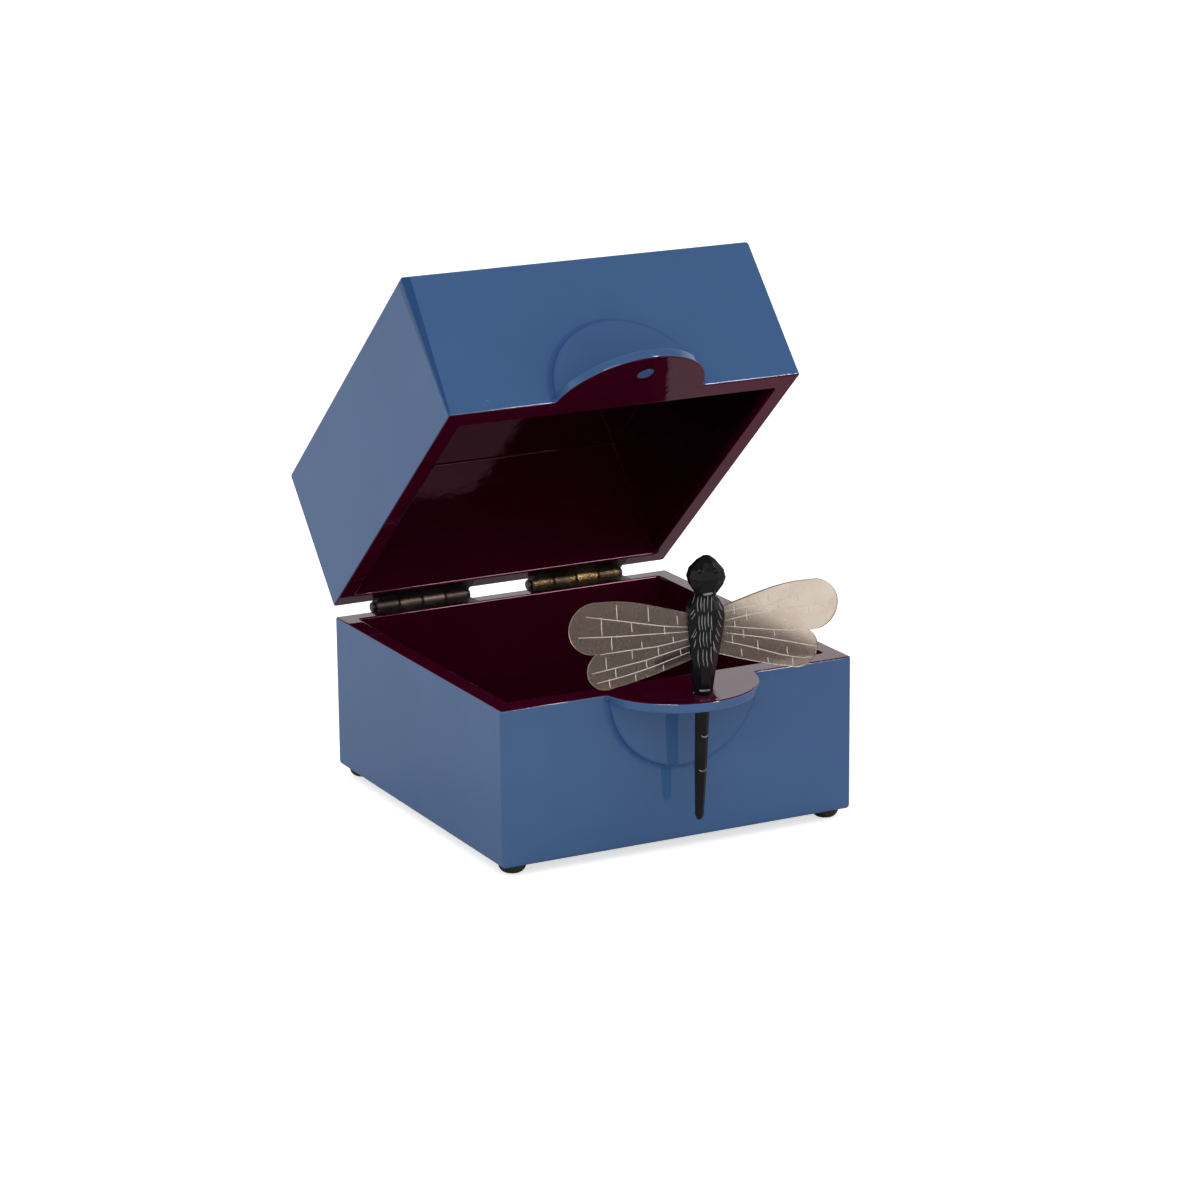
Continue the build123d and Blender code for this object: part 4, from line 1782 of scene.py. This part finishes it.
@dataclass
class Studio:
    """Camera at the photographed viewpoint, white surround, soft lamps and a pale floor."""

    place: Place
    photo_w: float = 1200.0
    focal_px: float = 3969.4
    sensor: float = 36.0
    clip: Flat = (0.05, 60.0)
    stand: Point = (-0.5478, -1.0646, 0.3862)
    right: Point = (0.8865, -0.46263, -0.00938)
    down: Point = (-0.12928, -0.22816, -0.965)
    mirrored_wall: float = 0.95
    mirrored_ceiling: float = 0.20
    ceiling_from: Flat = (0.33, 0.50)
    matt_light: float = 0.92
    aim: Point = (0.0, 0.0, 0.08)
    lamp_away: float = 1.6
    strips: tuple[Strip, ...] = (
        Strip("edge_light", (0.444, -0.79, 0.42), (0.444, -0.56, 0.70), 0.2, 30.0),
        Strip("left_light", (-0.34, -0.79, 0.51), (-0.66, -0.42, 0.62), 0.18, 24.0),
        Strip("dim_panel", (0.444, -0.90, 0.14), (0.444, -0.80, 0.38), 0.3, 3.0),
    )
    floor_reach: float = 12.0
    floor_patches: float = 3.0
    floor_low: Colour = (0.84, 0.84, 0.84)
    floor_high: Colour = (0.86, 0.86, 0.86)
    mirrored_floor: Colour = (0.62, 0.62, 0.62)
    # Painted shadow: right of the box the floor is darker where the box mirrors it
    mirrored_painted_shadow: Colour = (0.58, 0.33, 0.37)
    painted_shadow_from: Flat = (0.05, 0.12)
    floor_glow: float = 0.65

    def camera(self) -> None:
        """Sets the camera fitted to the box's corners; its stand is measured from the box's underside."""
        data = bpy.data.cameras.new("camera")
        data.sensor_width = self.sensor
        data.lens = self.focal_px * self.sensor / self.photo_w
        data.clip_start, data.clip_end = self.clip
        camera = bpy.data.objects.new("camera", data)
        bpy.context.scene.collection.objects.link(camera)
        x = Vector(self.right).normalized()
        y = -Vector(self.down)
        y = (y - x * y.dot(x)).normalized()
        turn = Matrix((x, y, x.cross(y))).transposed().to_4x4()
        origin = Vector((self.place.middle_x, self.place.middle_y, self.place.floor_z))
        camera.matrix_world = Matrix.Translation(origin + Vector(self.stand)) @ turn
        bpy.context.scene.camera = camera

    def surround(self) -> None:
        """Sets the white world, which gloss mirrors as a pale wall under a dark ceiling."""
        world = bpy.data.worlds.new("surround")
        world.use_nodes = True
        bpy.context.scene.world = world
        nodes = Nodes(world.node_tree)
        background = world.node_tree.nodes["Background"]
        rays = nodes.add("ShaderNodeLightPath").outputs
        seen = nodes.math("MAXIMUM", rays["Is Camera Ray"], rays["Is Transmission Ray"])
        way = nodes.add("ShaderNodeSeparateXYZ", Vector=nodes.add("ShaderNodeTexCoord").outputs["Generated"])
        mirrored = (self.mirrored_wall, self.mirrored_ceiling)
        mirrored = nodes.span(way.outputs["Z"], self.ceiling_from, mirrored)
        glossy = nodes.math("MULTIPLY", rays["Is Glossy Ray"], mirrored)
        other = nodes.math("SUBTRACT", 1.0, rays["Is Glossy Ray"])
        light = nodes.math("ADD", glossy, nodes.math("MULTIPLY", other, self.matt_light))
        nodes.feed(background, Color=(1, 1, 1), Strength=nodes.math("MAXIMUM", seen, light))

    def hang(self, strip: Strip) -> None:
        """Hangs a lamp, which doesn't shine through the wings.

        Args:
            strip: The lamp, with its ends as directions seen from the box.
        """
        aim = Vector(self.aim)
        first, last = (aim + Vector(end) * self.lamp_away for end in (strip.start, strip.end))
        middle = (first + last) / 2
        data = bpy.data.lights.new(strip.name, "AREA")
        data.shape = "RECTANGLE"
        data.size = strip.width
        data.size_y = (last - first).length
        data.energy = strip.glow * pi * data.size * data.size_y
        data.use_nodes = True
        nodes = Nodes(data.node_tree)
        rays = nodes.add("ShaderNodeLightPath")
        unbent = nodes.math("LESS_THAN", rays.outputs["Transmission Depth"], 0.5)
        nodes.feed(data.node_tree.nodes["Emission"], Strength=unbent)
        y = (last - first).normalized()
        z = (middle - aim).normalized()
        z = (z - y * z.dot(y)).normalized()
        lamp = bpy.data.objects.new(strip.name, data)
        lamp.visible_diffuse = False
        bpy.context.scene.collection.objects.link(lamp)
        turn = Matrix((y.cross(z), y, z)).transposed().to_4x4()
        lamp.matrix_world = Matrix.Translation(middle) @ turn

    def floor(self) -> None:
        """Lays the pale floor, lit a little more for the camera so that it runs into the white surround; in
        reflections it is darker, with a painted shadow right of the box.
        """
        r = self.floor_reach
        mesh = bpy.data.meshes.new("floor")
        mesh.from_pydata([(-r, -r, 0), (r, -r, 0), (r, r, 0), (-r, r, 0)], [], [(0, 1, 2, 3)])
        floor = new_object("floor", mesh)
        nodes, material, shader = Finish("pale_floor").begin()
        rays = nodes.add("ShaderNodeLightPath").outputs
        pale = nodes.mix(nodes.noise(nodes.here(), self.floor_patches), self.floor_low, self.floor_high)
        across = nodes.add("ShaderNodeSeparateXYZ", Vector=nodes.here()).outputs["X"]
        # Painted shadow right of the box, seen only in reflections
        mirrored = nodes.mix(nodes.span(across, self.painted_shadow_from), self.mirrored_floor, self.mirrored_painted_shadow)
        unbent = nodes.math("SUBTRACT", 1.0, rays["Is Transmission Ray"])
        bounced = nodes.math("MULTIPLY", rays["Is Glossy Ray"], unbent)
        glow = nodes.math("MULTIPLY", rays["Is Camera Ray"], self.floor_glow)
        nodes.feed(shader, Base_Color=nodes.mix(bounced, pale, mirrored), Roughness=0.9,
                   Specular_IOR_Level=0.1, Emission_Color=(1, 1, 1), Emission_Strength=glow)
        mesh.materials.append(material)

    def build(self) -> None:
        """Sets up camera, surround, floor and lamps."""
        bpy.context.scene.view_settings.view_transform = "Standard"
        self.camera()
        self.surround()
        self.floor()
        for strip in self.strips:
            self.hang(strip)


def main() -> None:
    """Builds every piece of the box and the studio round it."""
    logging.basicConfig(level=logging.INFO, format="%(message)s")
    site = Place()
    palette = Palette(site)
    Halves(site, palette).build()
    Feet(palette).build()
    Hinges(site, palette).build(repeat_tree())
    Dragonfly(Stance(site), palette, engraving_tree()).build()
    Studio(site).build()


if __name__ == "__main__":
    main()
